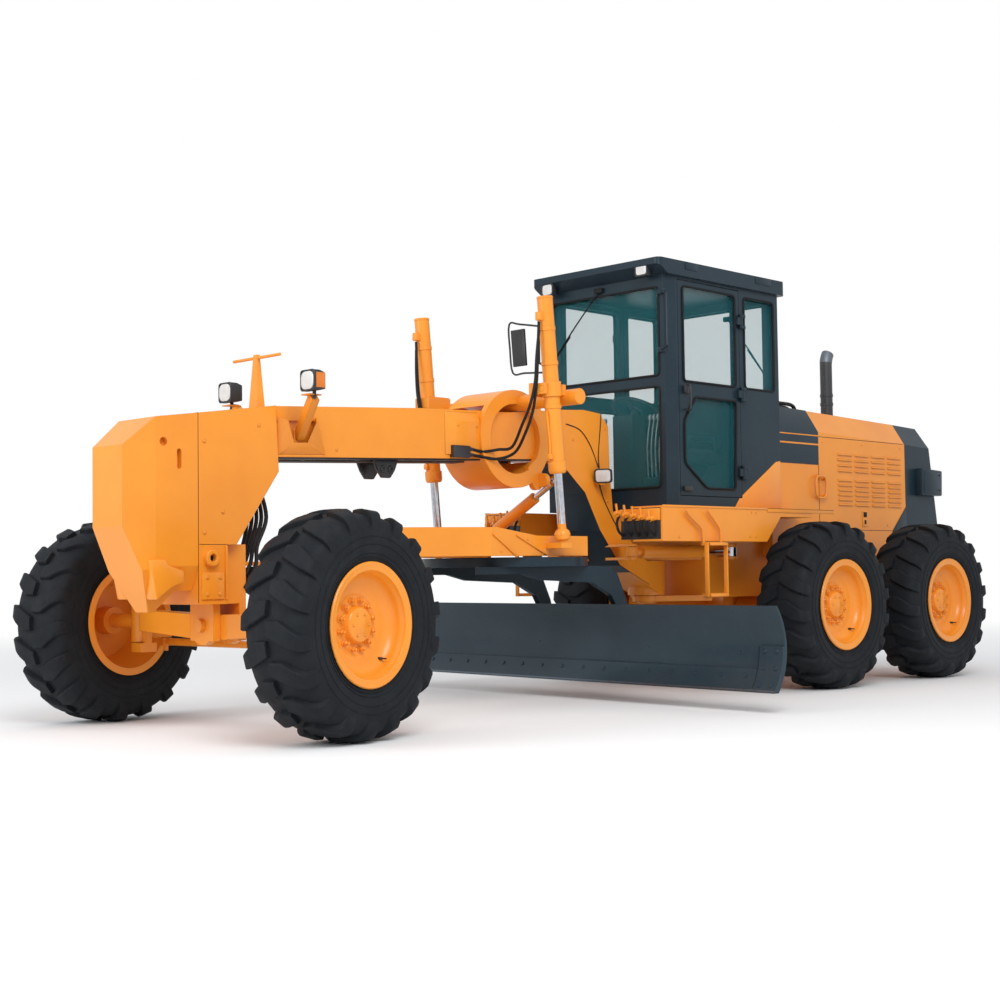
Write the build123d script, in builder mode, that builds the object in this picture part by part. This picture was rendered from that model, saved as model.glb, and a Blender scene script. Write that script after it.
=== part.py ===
# Motor grader: articulated frame, tandem rear wheels, steered front wheels and a blade under the beam.
# Millimetres, +X to the front, +Y to the machine's left, +Z up. The origin is on the ground,
# under the middle of the machine's length.
from build123d import *
import os
from math import cos, sin, radians

os.makedirs("parts", exist_ok=True)

# Layout: heights are above the ground, lengths run forward from the tandem centre
tandem_x = -2280
wheelbase = 5800
tandem_spacing = 1600
rear_tread = 2130
front_tread = 2300
hinge_ahead = 1700
rest_steer = 10
rest_blade_turn = -5.4
pin_gap = 0.5
side_gap = 5
seat_gap = 0.3

front_axle_x = tandem_x + wheelbase
hinge_x = tandem_x + hinge_ahead

# Tyres and rims: the carcass is a polygon of flats under the lugs
tyre_r = 655
tyre_w = 445
tyre_flats = 24
bead_r = 318
carcass_r = 625
crown_half_w = 150
shoulder_r = 590
shoulder_half_w = 206
wall_r = 490
lug_count = 18
lug_foot_r = 560
lug_toe = 42
lug_heel = 132
lug_drop = 10
flange_r = 355
rim_w = 400
rim_wall = 12
dish_r = 235
dish_out = 55
disc_t = 20
lip_out = 168
hub_r = 104
hub_face = 120
hub_boss_r = 90
hub_boss_len = 95
spindle_r = 45

# Front axle, king pins and steering
king_y = 860
axle_z = 640
axle_h = 130
axle_depth = 140
axle_pin_r = 40
king_pin_r = 34
knuckle_r = 60
knuckle_h = 270
axle_yoke_t = 60
yoke_web = 30
yoke_web_w = 50
steer_arm = 220
steer_arm_w = 50
steer_arm_z = 560
steer_arm_t = 36
tie_rod_r = 24

# Front frame: beam and gooseneck
beam_half_w = 160
beam_under = 1735
beam_over = 2115
beam_front_top = 1990
box_half_w = 195
box_low = 770
nose_joint_ahead = wheelbase + 275
nose_front_ahead = nose_joint_ahead + 495
nose_top = 1910
nose_low = 730
nose_face_low = 1230
nose_face_high = 1700
nose_face_half_w = 160
nose_toe_half_w = 64
foot_r = 150
foot_low = 745
foot_high = 1015
hinge_pin_r = 45
bracket_t = 50
bracket_low = 545
axle_gap = 0.3

# Drawbar, circle and blade
hitch_ahead = wheelbase - 300
hitch_z = 930
hitch_block = 100
hitch_pin_r = 28
hitch_lug_t = 25
circle_ahead = 3300
circle_r = 600
circle_inner_r = 535
circle_lip_r = 500
circle_lip_t = 20
circle_low = 975
circle_high = 1042
shoe_angles = (60, 120, 240, 300)
shoe_arc = 16
shoe_t = 30
drawbar_low = 1050
drawbar_half_w = 520
drawbar_beam_w = 60
deck_low = 1125
deck_high = 1150
arm_y = 420
arm_t = 50
tip_back = 780
tip_z = 470
tip_pin_r = 30
arm_end_r = 70
blade_len = 4200
blade_low = 135
blade_high = 700
blade_back = 560
blade_bulge = 90
blade_t = 22
edge_t = 20
edge_h = 150
end_bit_w = 200
end_bit_h = 300
rail_len = 2000
carrier_y = 320
carrier_t = 80
slide_r = 35
slide_rod_r = 22
slide_z = 330

# Lift, side and frame cylinders
lift_y = 630
lift_pivot_z = 2200
lift_eye_ahead = 3365
lift_lean = 90
lift_pivot_ahead = lift_eye_ahead + lift_lean
drawbar_rear_ahead = lift_eye_ahead - 385
lift_eye_z = 1196
lift_barrel_r = 55
lift_rod_r = 30
lift_pin_r = 22
lift_ball_r = 40
lift_seat_gap = 16
saddle_back = 75
saddle_ahead = lift_pivot_ahead - saddle_back
saddle_z = 1890
saddle_r = 350
saddle_hole_r = 250
saddle_t = 45
saddle_tube_r = 56
saddle_tube_back = 150
saddle_tube_z = 2152
saddle_tube_half = 760
ear_r = 50
yoke_t = 24
yoke_gap = 9
artic_front_ahead = 2350
artic_front_y = 400
artic_rear_ahead = 1250
artic_rear_y = 500
artic_z = 1080
artic_eye_half = 35
artic_eye_r = 45
artic_pin_r = 25
artic_barrel_r = 50
lug_t = 20
shift_ahead = drawbar_rear_ahead + 20
shift_ear_ahead = shift_ahead + 155
shift_low_y = -430
shift_low_z = 1235
shift_high_y = 235
shift_high_z = 1600
shift_barrel_r = 42
shift_rod_r = 22

# Rear frame, hood and cab
rail_y = 350
rail_w = 100
rail_low = 720
rail_high = 1050
tail_ahead = -1980
tow_ahead = -1965
tow_low = 780
tow_high = 890
tow_plate_t = 25
tow_pin_r = 25
hood_front_ahead = 680
hood_rear_ahead = -1420
hood_half_w = 500
hood_wall = 30
hood_low = 1070
cab_front_ahead = 2170
cab_rear_ahead = 720
cab_half_w = 620
cab_nose_half_w = 600
cab_nose_len = 120
cab_low = 1410
cab_high = 3190
cab_wall = 50
roof_top = 3285
door_rear_ahead = 1250
door_front_ahead = 2030
door_low = 1500
door_high = 3150
door_gap = 5
door_hinge_off = 22
door_hinge_r = 16
door_pin_r = 8
door_hinge_h = 60
door_hinge_heights = (1700, 2320, 2900)
glass_t = 8
upper_low = 2370
upper_high = 3105
lower_low = 1560
lower_high = 2265
window_corner = 40

# Hood louvres: rows by height, columns by length
louvre_len = 210
louvre_h = 14
louvre_pitch = 270
louvre_first_ahead = -420
louvre_columns = 4
upper_louvre_z = 1854
upper_louvre_pitch = 47
upper_louvre_rows = 4
lower_louvre_z = 1595
lower_louvre_pitch = 42
lower_louvre_rows = 6

# Side boxes and steps
side_in = 625
side_out = 900
side_low = 1150
side_high = 1405
side_front_ahead = 2600
side_kink_ahead = 1320
guard_front_ahead = 1130
guard_rear_ahead = 700
guard_low = 1345


def ahead(length):
    """X of a point this far ahead of the tandem centre."""
    return tandem_x + length


def save(name, piece):
    """Label a finished piece and write it."""
    piece.label = name
    export_step(piece, f"parts/{name}.step")


def outline(points):
    """Points of a side outline, from (ahead, height) pairs."""
    return [(ahead(x), z) for x, z in points]


# Directions of the steered wheels and of the turned blade, at rest
steer_heading = (cos(radians(rest_steer)), sin(radians(rest_steer)), 0)
steer_left = (-sin(radians(rest_steer)), cos(radians(rest_steer)), 0)
circle_x = ahead(circle_ahead)
blade_forward = (cos(radians(rest_blade_turn)), sin(radians(rest_blade_turn)), 0)
blade_left = (-sin(radians(rest_blade_turn)), cos(radians(rest_blade_turn)), 0)
blade_side_plane = Plane(origin=(circle_x, 0, 0), x_dir=blade_forward, z_dir=[-v for v in blade_left])

# Wheels: one tyre and one rim, made with the axle on Z and the outer side up, then set at each place
front_offset = front_tread / 2 - king_y
wheel_table = []
for end, wheel_x in (("mid", ahead(tandem_spacing / 2)), ("rear", ahead(-tandem_spacing / 2))):
    for side, sign in (("left", 1), ("right", -1)):
        wheel_table.append((f"{end}_{side}", (wheel_x, sign * rear_tread / 2, tyre_r), (0, sign, 0),
                            (1, 0, 0)))
for side, sign in (("left", 1), ("right", -1)):
    outward = tuple(sign * v for v in steer_left)
    centre = (front_axle_x + outward[0] * front_offset, sign * king_y + outward[1] * front_offset, tyre_r)
    wheel_table.append((f"front_{side}", centre, outward, steer_heading))

bead_half = rim_w / 2 - rim_wall - seat_gap
tyre_half = tyre_w / 2
wall_half = tyre_half - 4
tyre_sections = [(-wall_half, wall_r), (-shoulder_half_w, shoulder_r), (-crown_half_w, carcass_r),
                 (crown_half_w, carcass_r), (shoulder_half_w, shoulder_r), (wall_half, wall_r)]
with BuildPart() as lug:
    with BuildSketch(Plane(origin=(lug_foot_r, 0, 0), x_dir=(0, 1, 0), z_dir=(1, 0, 0))):
        with BuildLine():
            Polyline((-lug_toe, 4), (lug_toe, 4), (lug_heel - 20, crown_half_w), (lug_heel, tyre_half),
                     (lug_toe + 8, tyre_half), (-lug_toe, 2 * lug_toe), close=True)
        make_face()
    extrude(amount=tyre_r - lug_foot_r)
    with BuildSketch(Plane.XZ.offset(-lug_heel)):
        with BuildLine():
            Polyline((lug_foot_r, 0), (tyre_r, 0), (tyre_r, lug_toe / 2), (tyre_r - lug_drop, crown_half_w),
                     (tyre_r - 30, shoulder_half_w + 4), (lug_foot_r, tyre_half - 1), close=True)
        make_face()
    extrude(amount=2 * lug_heel, mode=Mode.INTERSECT)
with BuildPart() as tyre:
    for height, radius in tyre_sections:
        with BuildSketch(Plane.XY.offset(height)):
            RegularPolygon(radius, tyre_flats)
    loft(ruled=True)
    for end in (1, -1):
        with BuildSketch(Plane.XY.offset(end * wall_half)):
            RegularPolygon(wall_r - 10, tyre_flats)
        with BuildSketch(Plane.XY.offset(end * bead_half)):
            RegularPolygon(flange_r + 2, tyre_flats)
        loft(ruled=True, mode=Mode.SUBTRACT)
    Cylinder(bead_r + seat_gap, tyre_w, mode=Mode.SUBTRACT)
    with PolarLocations(0, lug_count):
        add(lug.part)
    with PolarLocations(0, lug_count, start_angle=180 / lug_count):
        add(lug.part.mirror(Plane.XY))
with BuildPart() as rim:
    with BuildSketch(Plane.XZ):
        with BuildLine():
            Polyline((0, dish_out + disc_t), (spindle_r + pin_gap, dish_out + disc_t),
                     (spindle_r + pin_gap, dish_out - hub_boss_len), (hub_boss_r, dish_out - hub_boss_len),
                     (hub_boss_r, dish_out), (dish_r, dish_out), (bead_r - rim_wall, -rim_w / 2 + 30),
                     (bead_r - rim_wall, -rim_w / 2), (flange_r, -rim_w / 2),
                     (flange_r, -rim_w / 2 + rim_wall),
                     (bead_r, -rim_w / 2 + rim_wall), (bead_r, rim_w / 2 - rim_wall),
                     (flange_r, rim_w / 2 - rim_wall), (flange_r, rim_w / 2), (bead_r - 12, rim_w / 2),
                     (bead_r - 32, lip_out - 48), (dish_r, dish_out + disc_t + 8),
                     (hub_r + 8, dish_out + disc_t),
                     (hub_r - 6, hub_face), (0, hub_face), close=True)
        make_face()
    revolve(axis=Axis.Z)
for name, centre, outward, heading in wheel_table:
    place = Plane(origin=centre, x_dir=heading, z_dir=outward).location
    save(f"tyre_{name}", tyre.part.moved(place))
    save(f"rim_{name}", rim.part.moved(place))

# Tandem cases, the axle housing between them and the stub axles that carry the rear wheels
case_in = 620
case_out = 790
case_r = 185
housing_r = 130
housing_z = 585
stub_end = rear_tread / 2 + dish_out
with BuildPart() as tandem_axle:
    with BuildSketch(Plane.XZ.offset(-case_out)):
        with Locations((tandem_x, tyre_r)):
            SlotCenterToCenter(tandem_spacing, 2 * case_r)
    extrude(amount=case_out - case_in)
    with BuildSketch(Plane.XZ.offset(-stub_end)):
        for wheel_x in (ahead(tandem_spacing / 2), ahead(-tandem_spacing / 2)):
            with Locations((wheel_x, tyre_r)):
                Circle(spindle_r)
    extrude(amount=stub_end - case_in)
    mirror(about=Plane.XZ)
    with BuildSketch(Plane.XZ.offset(-case_in - 20)):
        with Locations((tandem_x, housing_z)):
            Circle(housing_r)
    extrude(amount=2 * (case_in + 20))
    for sign in (1, -1):
        with Locations((tandem_x, sign * rail_y, rail_low - seat_gap)):
            Box(320, rail_w, rail_low - housing_z, align=(Align.CENTER, Align.CENTER, Align.MAX))
save("tandem_axle", tandem_axle.part)

# Rear frame: two rails, cross members, hinge plates with the hinge pin, cab pedestal and deck
cross_ahead = 1430
pedestal_front_ahead = 1500
with BuildPart() as rear_frame:
    for sign in (1, -1):
        with Locations((ahead(tail_ahead + 60), sign * rail_y, rail_low)):
            Box(cross_ahead - tail_ahead - 60, rail_w, rail_high - rail_low,
                align=(Align.MIN, Align.CENTER, Align.MIN))
    for cross in (tail_ahead + 60, -300, cross_ahead - 60):
        with Locations((ahead(cross), 0, rail_low)):
            Box(60, 2 * rail_y, rail_high - rail_low, align=(Align.MIN, Align.CENTER, Align.MIN))
    for plate_low in (foot_low - side_gap - 45, foot_high + side_gap):
        with BuildSketch(Plane.XY.offset(plate_low)):
            with BuildLine():
                Polyline((ahead(cross_ahead - 60), rail_y + rail_w / 2), (hinge_x + 40, 100),
                         (hinge_x + 40, -100), (ahead(cross_ahead - 60), -rail_y - rail_w / 2), close=True)
            make_face()
            with Locations((hinge_x, 0)):
                Circle(115)
        extrude(amount=45)
    with Locations((hinge_x, 0, foot_low - side_gap - 45)):
        Cylinder(hinge_pin_r, foot_high - foot_low + 2 * side_gap + 90,
                 align=(Align.CENTER, Align.CENTER, Align.MIN))
    with Locations((ahead(tail_ahead + 60), 0, rail_high)):
        Box(hood_front_ahead - tail_ahead - 60, 2 * hood_half_w, hood_low - rail_high,
            align=(Align.MIN, Align.CENTER, Align.MIN))
    with Locations((ahead(hood_front_ahead), 0, rail_high)):
        Box(pedestal_front_ahead - hood_front_ahead, 2 * rail_y + rail_w, cab_low - seat_gap - rail_high,
            align=(Align.MIN, Align.CENTER, Align.MIN))
    with Locations((ahead(side_kink_ahead + 20), 0, side_low + 60)):
        Box(150, 2 * side_in - 2 * seat_gap, 120, align=(Align.MIN, Align.CENTER, Align.MIN))
    for sign in (1, -1):
        for low in (artic_z - artic_eye_half - side_gap - lug_t, artic_z + artic_eye_half + side_gap):
            with BuildSketch(Plane.XY.offset(low)):
                with Locations((ahead(artic_rear_ahead), sign * artic_rear_y)):
                    Circle(55)
                with Locations((ahead(artic_rear_ahead), sign * (artic_rear_y - 65))):
                    Rectangle(110, 130)
            extrude(amount=lug_t)
    for low in (tow_low, tow_high - tow_plate_t):
        with BuildSketch(Plane.XY.offset(low)):
            with Locations((ahead(tow_ahead), 0)):
                Circle(50)
                Rectangle(100, 100, align=(Align.MIN, Align.CENTER))
        extrude(amount=tow_plate_t)
    with Locations((ahead(tow_ahead), 0, tow_low - 10)):
        Cylinder(tow_pin_r, tow_high - tow_low + 20, align=(Align.CENTER, Align.CENTER, Align.MIN),
                 mode=Mode.SUBTRACT)
save("rear_frame", rear_frame.part)

# Engine and radiator as one plain mass on the rails
with BuildPart() as engine_block:
    with Locations((ahead(-400), 0, hood_low + seat_gap)):
        Box(1500, 640, 820, align=(Align.CENTER, Align.CENTER, Align.MIN))
save("engine_block", engine_block.part)

# Hood: one folded shell with sloped shoulders, open below
hood_front_top = 2310
hood_rear_top = 2250
shoulder_drop = 190
shoulder_in = 120
with BuildPart() as hood:
    with BuildSketch(Plane.XZ.offset(-hood_half_w)):
        with BuildLine():
            Polyline(*outline([(hood_rear_ahead, hood_low), (hood_front_ahead, hood_low),
                               (hood_front_ahead, hood_front_top),
                               (hood_rear_ahead, hood_rear_top)]), close=True)
        make_face()
    extrude(amount=2 * hood_half_w)
    top_face = hood.faces().sort_by(Axis.Z)[-1]
    long_edges = top_face.edges().filter_by(lambda e: e.length > 1500)
    chamfer(long_edges, length=shoulder_in, length2=shoulder_drop)
    offset(amount=-hood_wall, openings=hood.faces().sort_by(Axis.Z)[0])
    louvre_x = ahead(louvre_first_ahead - louvre_pitch * (louvre_columns - 1) / 2)
    with BuildSketch(Plane.XZ.offset(-hood_half_w - 10)):
        with Locations((louvre_x, upper_louvre_z)):
            with GridLocations(louvre_pitch, upper_louvre_pitch, louvre_columns, upper_louvre_rows):
                Rectangle(louvre_len, louvre_h)
        with Locations((louvre_x, lower_louvre_z)):
            with GridLocations(louvre_pitch, lower_louvre_pitch, louvre_columns, lower_louvre_rows):
                Rectangle(louvre_len, louvre_h)
    extrude(amount=2 * hood_half_w + 20, mode=Mode.SUBTRACT)
save("hood", hood.part)

# Tail: the radiator guard behind the hood, with bars across its opening
guard_frame = 90
guard_deep = 120
guard_bars = 9
guard_mouth_low = hood_low + 330
guard_mouth_high = hood_rear_top - 110
with BuildPart() as tail_guard:
    with BuildSketch(Plane.XZ.offset(-hood_half_w)):
        with BuildLine():
            Polyline(*outline([(hood_rear_ahead - 1, hood_low), (hood_rear_ahead - 1, hood_rear_top),
                               (tail_ahead + 160, hood_rear_top - 15), (tail_ahead, guard_mouth_low - 50),
                               (tail_ahead, hood_low)]), close=True)
        make_face()
    extrude(amount=2 * hood_half_w)
    guard_edges = tail_guard.faces().sort_by(Axis.Z)[-1].edges().filter_by(lambda e: e.length < hood_half_w)
    chamfer(guard_edges, length=shoulder_in, length2=shoulder_drop)
    with BuildSketch(Plane.YZ.offset(ahead(tail_ahead - 10))):
        with Locations((0, (guard_mouth_low + guard_mouth_high) / 2)):
            Rectangle(2 * (hood_half_w - guard_frame), guard_mouth_high - guard_mouth_low)
    extrude(amount=guard_deep + 170, mode=Mode.SUBTRACT)
    with BuildSketch(Plane.YZ.offset(ahead(tail_ahead + guard_deep + 60))):
        with Locations((0, (guard_mouth_low + guard_mouth_high) / 2)):
            with GridLocations(0, (guard_mouth_high - guard_mouth_low) / guard_bars, 1, guard_bars):
                Rectangle(2 * hood_half_w - guard_frame, 16)
    extrude(amount=30)
save("tail_guard", tail_guard.part)

# Exhaust stack
exhaust_ahead = -930
exhaust_r = 55
hood_slope = (hood_front_top - hood_rear_top) / (hood_front_ahead - hood_rear_ahead)
exhaust_foot = hood_rear_top + hood_slope * (exhaust_ahead + exhaust_r - hood_rear_ahead) + seat_gap
with BuildPart() as exhaust:
    with BuildLine(Plane.XZ):
        stack = Line((ahead(exhaust_ahead), exhaust_foot), (ahead(exhaust_ahead), 2800))
        JernArc(start=(ahead(exhaust_ahead), 2800), tangent=(0, 1), radius=180, arc_size=35)
    with BuildSketch(Plane(origin=stack @ 0, z_dir=stack % 0)):
        Circle(exhaust_r)
    sweep()
save("exhaust", exhaust.part)

# Cab shell: walls cut for windows and doors, hinge lugs at the doors' rear edges, and the roof with its visor
window_in = 45
post = 60
front_panes = ((1560, 2330), (2405, 3085))
quarter_len = door_rear_ahead - cab_rear_ahead - 2 * post
rear_pane_half = cab_half_w - 2 * post
roof_half_w = 655
roof_rear_ahead = 650
roof_front_ahead = 2285
visor_h = 50
door_hinge_out = 2 * (door_hinge_off + 8)
door_hinge_x = ahead(door_rear_ahead)
door_hinge_y = cab_half_w + door_hinge_off
quarter_x = ahead((door_rear_ahead + cab_rear_ahead) / 2)
upper_mid = (upper_low + upper_high) / 2
with BuildPart() as roof:
    with BuildSketch(Plane.XZ.offset(-roof_half_w)):
        with BuildLine():
            Polyline(*outline([(roof_rear_ahead, cab_high - 20), (roof_rear_ahead, roof_top),
                               (roof_front_ahead, roof_top),
                               (roof_front_ahead, roof_top - visor_h),
                               (cab_front_ahead + 10, cab_high - 20)]), close=True)
        make_face()
    extrude(amount=2 * roof_half_w)
    fillet(roof.edges().filter_by(Axis.Z), radius=45)
with BuildPart() as cab_shell:
    with BuildSketch(Plane.XY.offset(cab_low)):
        with BuildLine():
            Polyline((ahead(cab_rear_ahead), cab_half_w),
                     (ahead(cab_front_ahead - cab_nose_len), cab_half_w),
                     (ahead(cab_front_ahead), cab_nose_half_w), (ahead(cab_front_ahead), -cab_nose_half_w),
                     (ahead(cab_front_ahead - cab_nose_len), -cab_half_w),
                     (ahead(cab_rear_ahead), -cab_half_w),
                     close=True)
        make_face()
    extrude(amount=cab_high - cab_low)
    offset(amount=-cab_wall, openings=cab_shell.faces().sort_by(Axis.Z)[-1])
    add(roof.part)
    with BuildSketch(Plane.XZ.offset(-cab_half_w - 10)):
        with Locations((ahead((door_front_ahead + door_rear_ahead) / 2), (door_low + door_high) / 2)):
            Rectangle(door_front_ahead - door_rear_ahead, door_high - door_low)
        with Locations((quarter_x, upper_mid)):
            RectangleRounded(quarter_len, upper_high - upper_low, window_corner)
    extrude(amount=2 * cab_half_w + 20, mode=Mode.SUBTRACT)
    with BuildSketch(Plane.YZ.offset(ahead(cab_front_ahead) - cab_wall - 10)):
        for low, high in front_panes:
            with Locations((0, (low + high) / 2)):
                RectangleRounded(2 * (cab_nose_half_w - window_in), high - low, window_corner)
    extrude(amount=cab_wall + 20, mode=Mode.SUBTRACT)
    with BuildSketch(Plane.YZ.offset(ahead(cab_rear_ahead) - 10)):
        with Locations((0, upper_mid)):
            RectangleRounded(2 * rear_pane_half, upper_high - upper_low, window_corner)
    extrude(amount=cab_wall + 20, mode=Mode.SUBTRACT)
    for sign in (1, -1):
        for hinge_z in door_hinge_heights:
            for end in (1, -1):
                lug_z = hinge_z + end * (door_hinge_h / 2 + 2 + 12)
                with Locations((door_hinge_x, sign * cab_half_w, lug_z)):
                    Box(50, door_hinge_out, 24, align=(Align.MAX, Align.CENTER, Align.CENTER))
                with Locations((door_hinge_x, sign * door_hinge_y, lug_z)):
                    Cylinder(door_hinge_r, 24)
            with Locations((door_hinge_x, sign * door_hinge_y, hinge_z)):
                Cylinder(door_pin_r, door_hinge_h + 40)
save("cab_shell", cab_shell.part)

# Cab glass: fixed panes inside their window frames
with BuildPart() as cab_glass:
    with BuildSketch(Plane.YZ.offset(ahead(cab_front_ahead) - (cab_wall + glass_t) / 2)):
        for low, high in front_panes:
            with Locations((0, (low + high) / 2)):
                RectangleRounded(2 * (cab_nose_half_w - window_in - seat_gap), high - low - 2 * seat_gap,
                                 window_corner - seat_gap)
    extrude(amount=glass_t)
    with BuildSketch(Plane.YZ.offset(ahead(cab_rear_ahead) + (cab_wall - glass_t) / 2)):
        with Locations((0, upper_mid)):
            RectangleRounded(2 * (rear_pane_half - seat_gap), upper_high - upper_low - 2 * seat_gap,
                             window_corner - seat_gap)
    extrude(amount=glass_t)
    for sign in (1, -1):
        with BuildSketch(Plane.XZ.offset(-sign * (cab_half_w - cab_wall / 2) - glass_t / 2)):
            with Locations((quarter_x, upper_mid)):
                RectangleRounded(quarter_len - 2 * seat_gap, upper_high - upper_low - 2 * seat_gap,
                                 window_corner - seat_gap)
        extrude(amount=glass_t)
save("cab_glass", cab_glass.part)

# Doors, hinged at their rear edges, each with a tall upper pane and a lower pane with cut corners
door_frame = 50
door_rear_edge = door_rear_ahead + door_gap
door_front_edge = door_front_ahead - door_gap
door_mid_x = ahead((door_rear_edge + door_front_edge) / 2)
pane_rear = door_rear_edge + door_frame
pane_front = door_front_edge - door_frame
with BuildSketch(Plane.XZ) as upper_pane:
    with Locations((door_mid_x, upper_mid)):
        RectangleRounded(pane_front - pane_rear, upper_high - upper_low, window_corner)
with BuildSketch(Plane.XZ) as lower_pane:
    with BuildLine():
        Polyline(*outline([(pane_rear, lower_high), (pane_front - 140, lower_high),
                           (pane_front, lower_high - 185),
                           (pane_front, lower_low + 185), (pane_front - 265, lower_low),
                           (pane_rear + 25, lower_low)]),
                 close=True)
    make_face()
    fillet(lower_pane.vertices(), radius=window_corner)
for side, sign in (("left", 1), ("right", -1)):
    wall_outer = sign * cab_half_w - (sign - 1) * cab_wall / 2
    with BuildPart() as door:
        with BuildSketch(Plane.XZ.offset(-wall_outer)):
            with Locations((door_mid_x, (door_low + door_high) / 2)):
                Rectangle(door_front_edge - door_rear_edge, door_high - door_low - 2 * door_gap)
            add(upper_pane.sketch_local, mode=Mode.SUBTRACT)
            add(lower_pane.sketch_local, mode=Mode.SUBTRACT)
        extrude(amount=cab_wall)
        for hinge_z in door_hinge_heights:
            with Locations((door_hinge_x + door_gap, sign * cab_half_w, hinge_z)):
                Box(50, door_hinge_out, door_hinge_h, align=(Align.MIN, Align.CENTER, Align.CENTER))
            with Locations((door_hinge_x, sign * door_hinge_y, hinge_z)):
                Cylinder(door_hinge_r, door_hinge_h)
                Cylinder(door_pin_r + pin_gap, 2 * door_hinge_h, mode=Mode.SUBTRACT)
    save(f"door_{side}", door.part)
    with BuildPart() as pane:
        with BuildSketch(Plane.XZ.offset(-wall_outer + (cab_wall - glass_t) / 2)):
            add(upper_pane.sketch_local)
            add(lower_pane.sketch_local)
            offset(amount=-seat_gap)
        extrude(amount=glass_t)
    save(f"door_glass_{side}", pane.part)

# Seat and steering console on the cab floor
floor_z = cab_low + cab_wall + seat_gap
seat_ahead = 1250
console_ahead = 1880
wheel_tilt = 25
with BuildPart() as seat:
    with Locations((ahead(seat_ahead), 0, floor_z)):
        Box(360, 360, 330, align=(Align.CENTER, Align.CENTER, Align.MIN))
    with Locations((ahead(seat_ahead + 20), 0, floor_z + 330)):
        Box(480, 500, 130, align=(Align.CENTER, Align.CENTER, Align.MIN))
    with Locations((ahead(seat_ahead - 240), 0, floor_z + 330)):
        Box(120, 480, 680, align=(Align.CENTER, Align.CENTER, Align.MIN))
save("seat", seat.part)
wheel_plane = Plane(origin=(ahead(console_ahead - 80), 0, floor_z + 740),
                    x_dir=(cos(radians(wheel_tilt)), 0, sin(radians(wheel_tilt))),
                    z_dir=(-sin(radians(wheel_tilt)), 0, cos(radians(wheel_tilt))))
with BuildPart() as console:
    with Locations((ahead(console_ahead), 0, floor_z)):
        Box(160, 200, 700, align=(Align.CENTER, Align.CENTER, Align.MIN))
    with BuildSketch(wheel_plane):
        RegularPolygon(205, 20)
        RegularPolygon(177, 20, mode=Mode.SUBTRACT)
        Rectangle(370, 30)
        Circle(45)
    extrude(amount=24)
    with BuildSketch(wheel_plane):
        Circle(30)
    extrude(amount=-120)
save("console", console.part)

# Side boxes beside the cab foot, with the guard that runs back over the wheel, and the steps on them
with BuildPart() as side_boxes:
    with BuildSketch(Plane.XZ.offset(-side_out)):
        with BuildLine():
            Polyline(*outline([(side_front_ahead, side_high), (side_front_ahead, side_low),
                               (side_kink_ahead, side_low),
                               (guard_front_ahead, guard_low), (guard_rear_ahead, guard_low),
                               (guard_rear_ahead, side_high)]), close=True)
        make_face()
    extrude(amount=side_out - side_in)
    mirror(about=Plane.XZ)
save("side_boxes", side_boxes.part)

step_ahead = 2060
step_len = 240
step_y = 970
with BuildPart() as steps:
    for sign in (1, -1):
        for end in (-1, 1):
            with BuildLine():
                foot = Line((ahead(step_ahead + end * step_len / 2), sign * step_y, 740),
                            (ahead(step_ahead + end * step_len / 2), sign * step_y, 1330))
                bend = Line(foot @ 1, (ahead(step_ahead + end * step_len / 2), sign * (side_out + 40),
                                       1365))
                Line(bend @ 1, (ahead(step_ahead + end * step_len / 2), sign * (side_out + seat_gap), 1365))
            with BuildSketch(Plane(origin=foot @ 0, z_dir=foot % 0)):
                Circle(13)
            sweep(transition=Transition.RIGHT)
        for tread_z in (740, 1115):
            with Locations((ahead(step_ahead), sign * (side_out + 52), tread_z)):
                Box(step_len + 26, 94, 26, align=(Align.CENTER, Align.CENTER, Align.MIN))
save("steps", steps.part)

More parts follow.
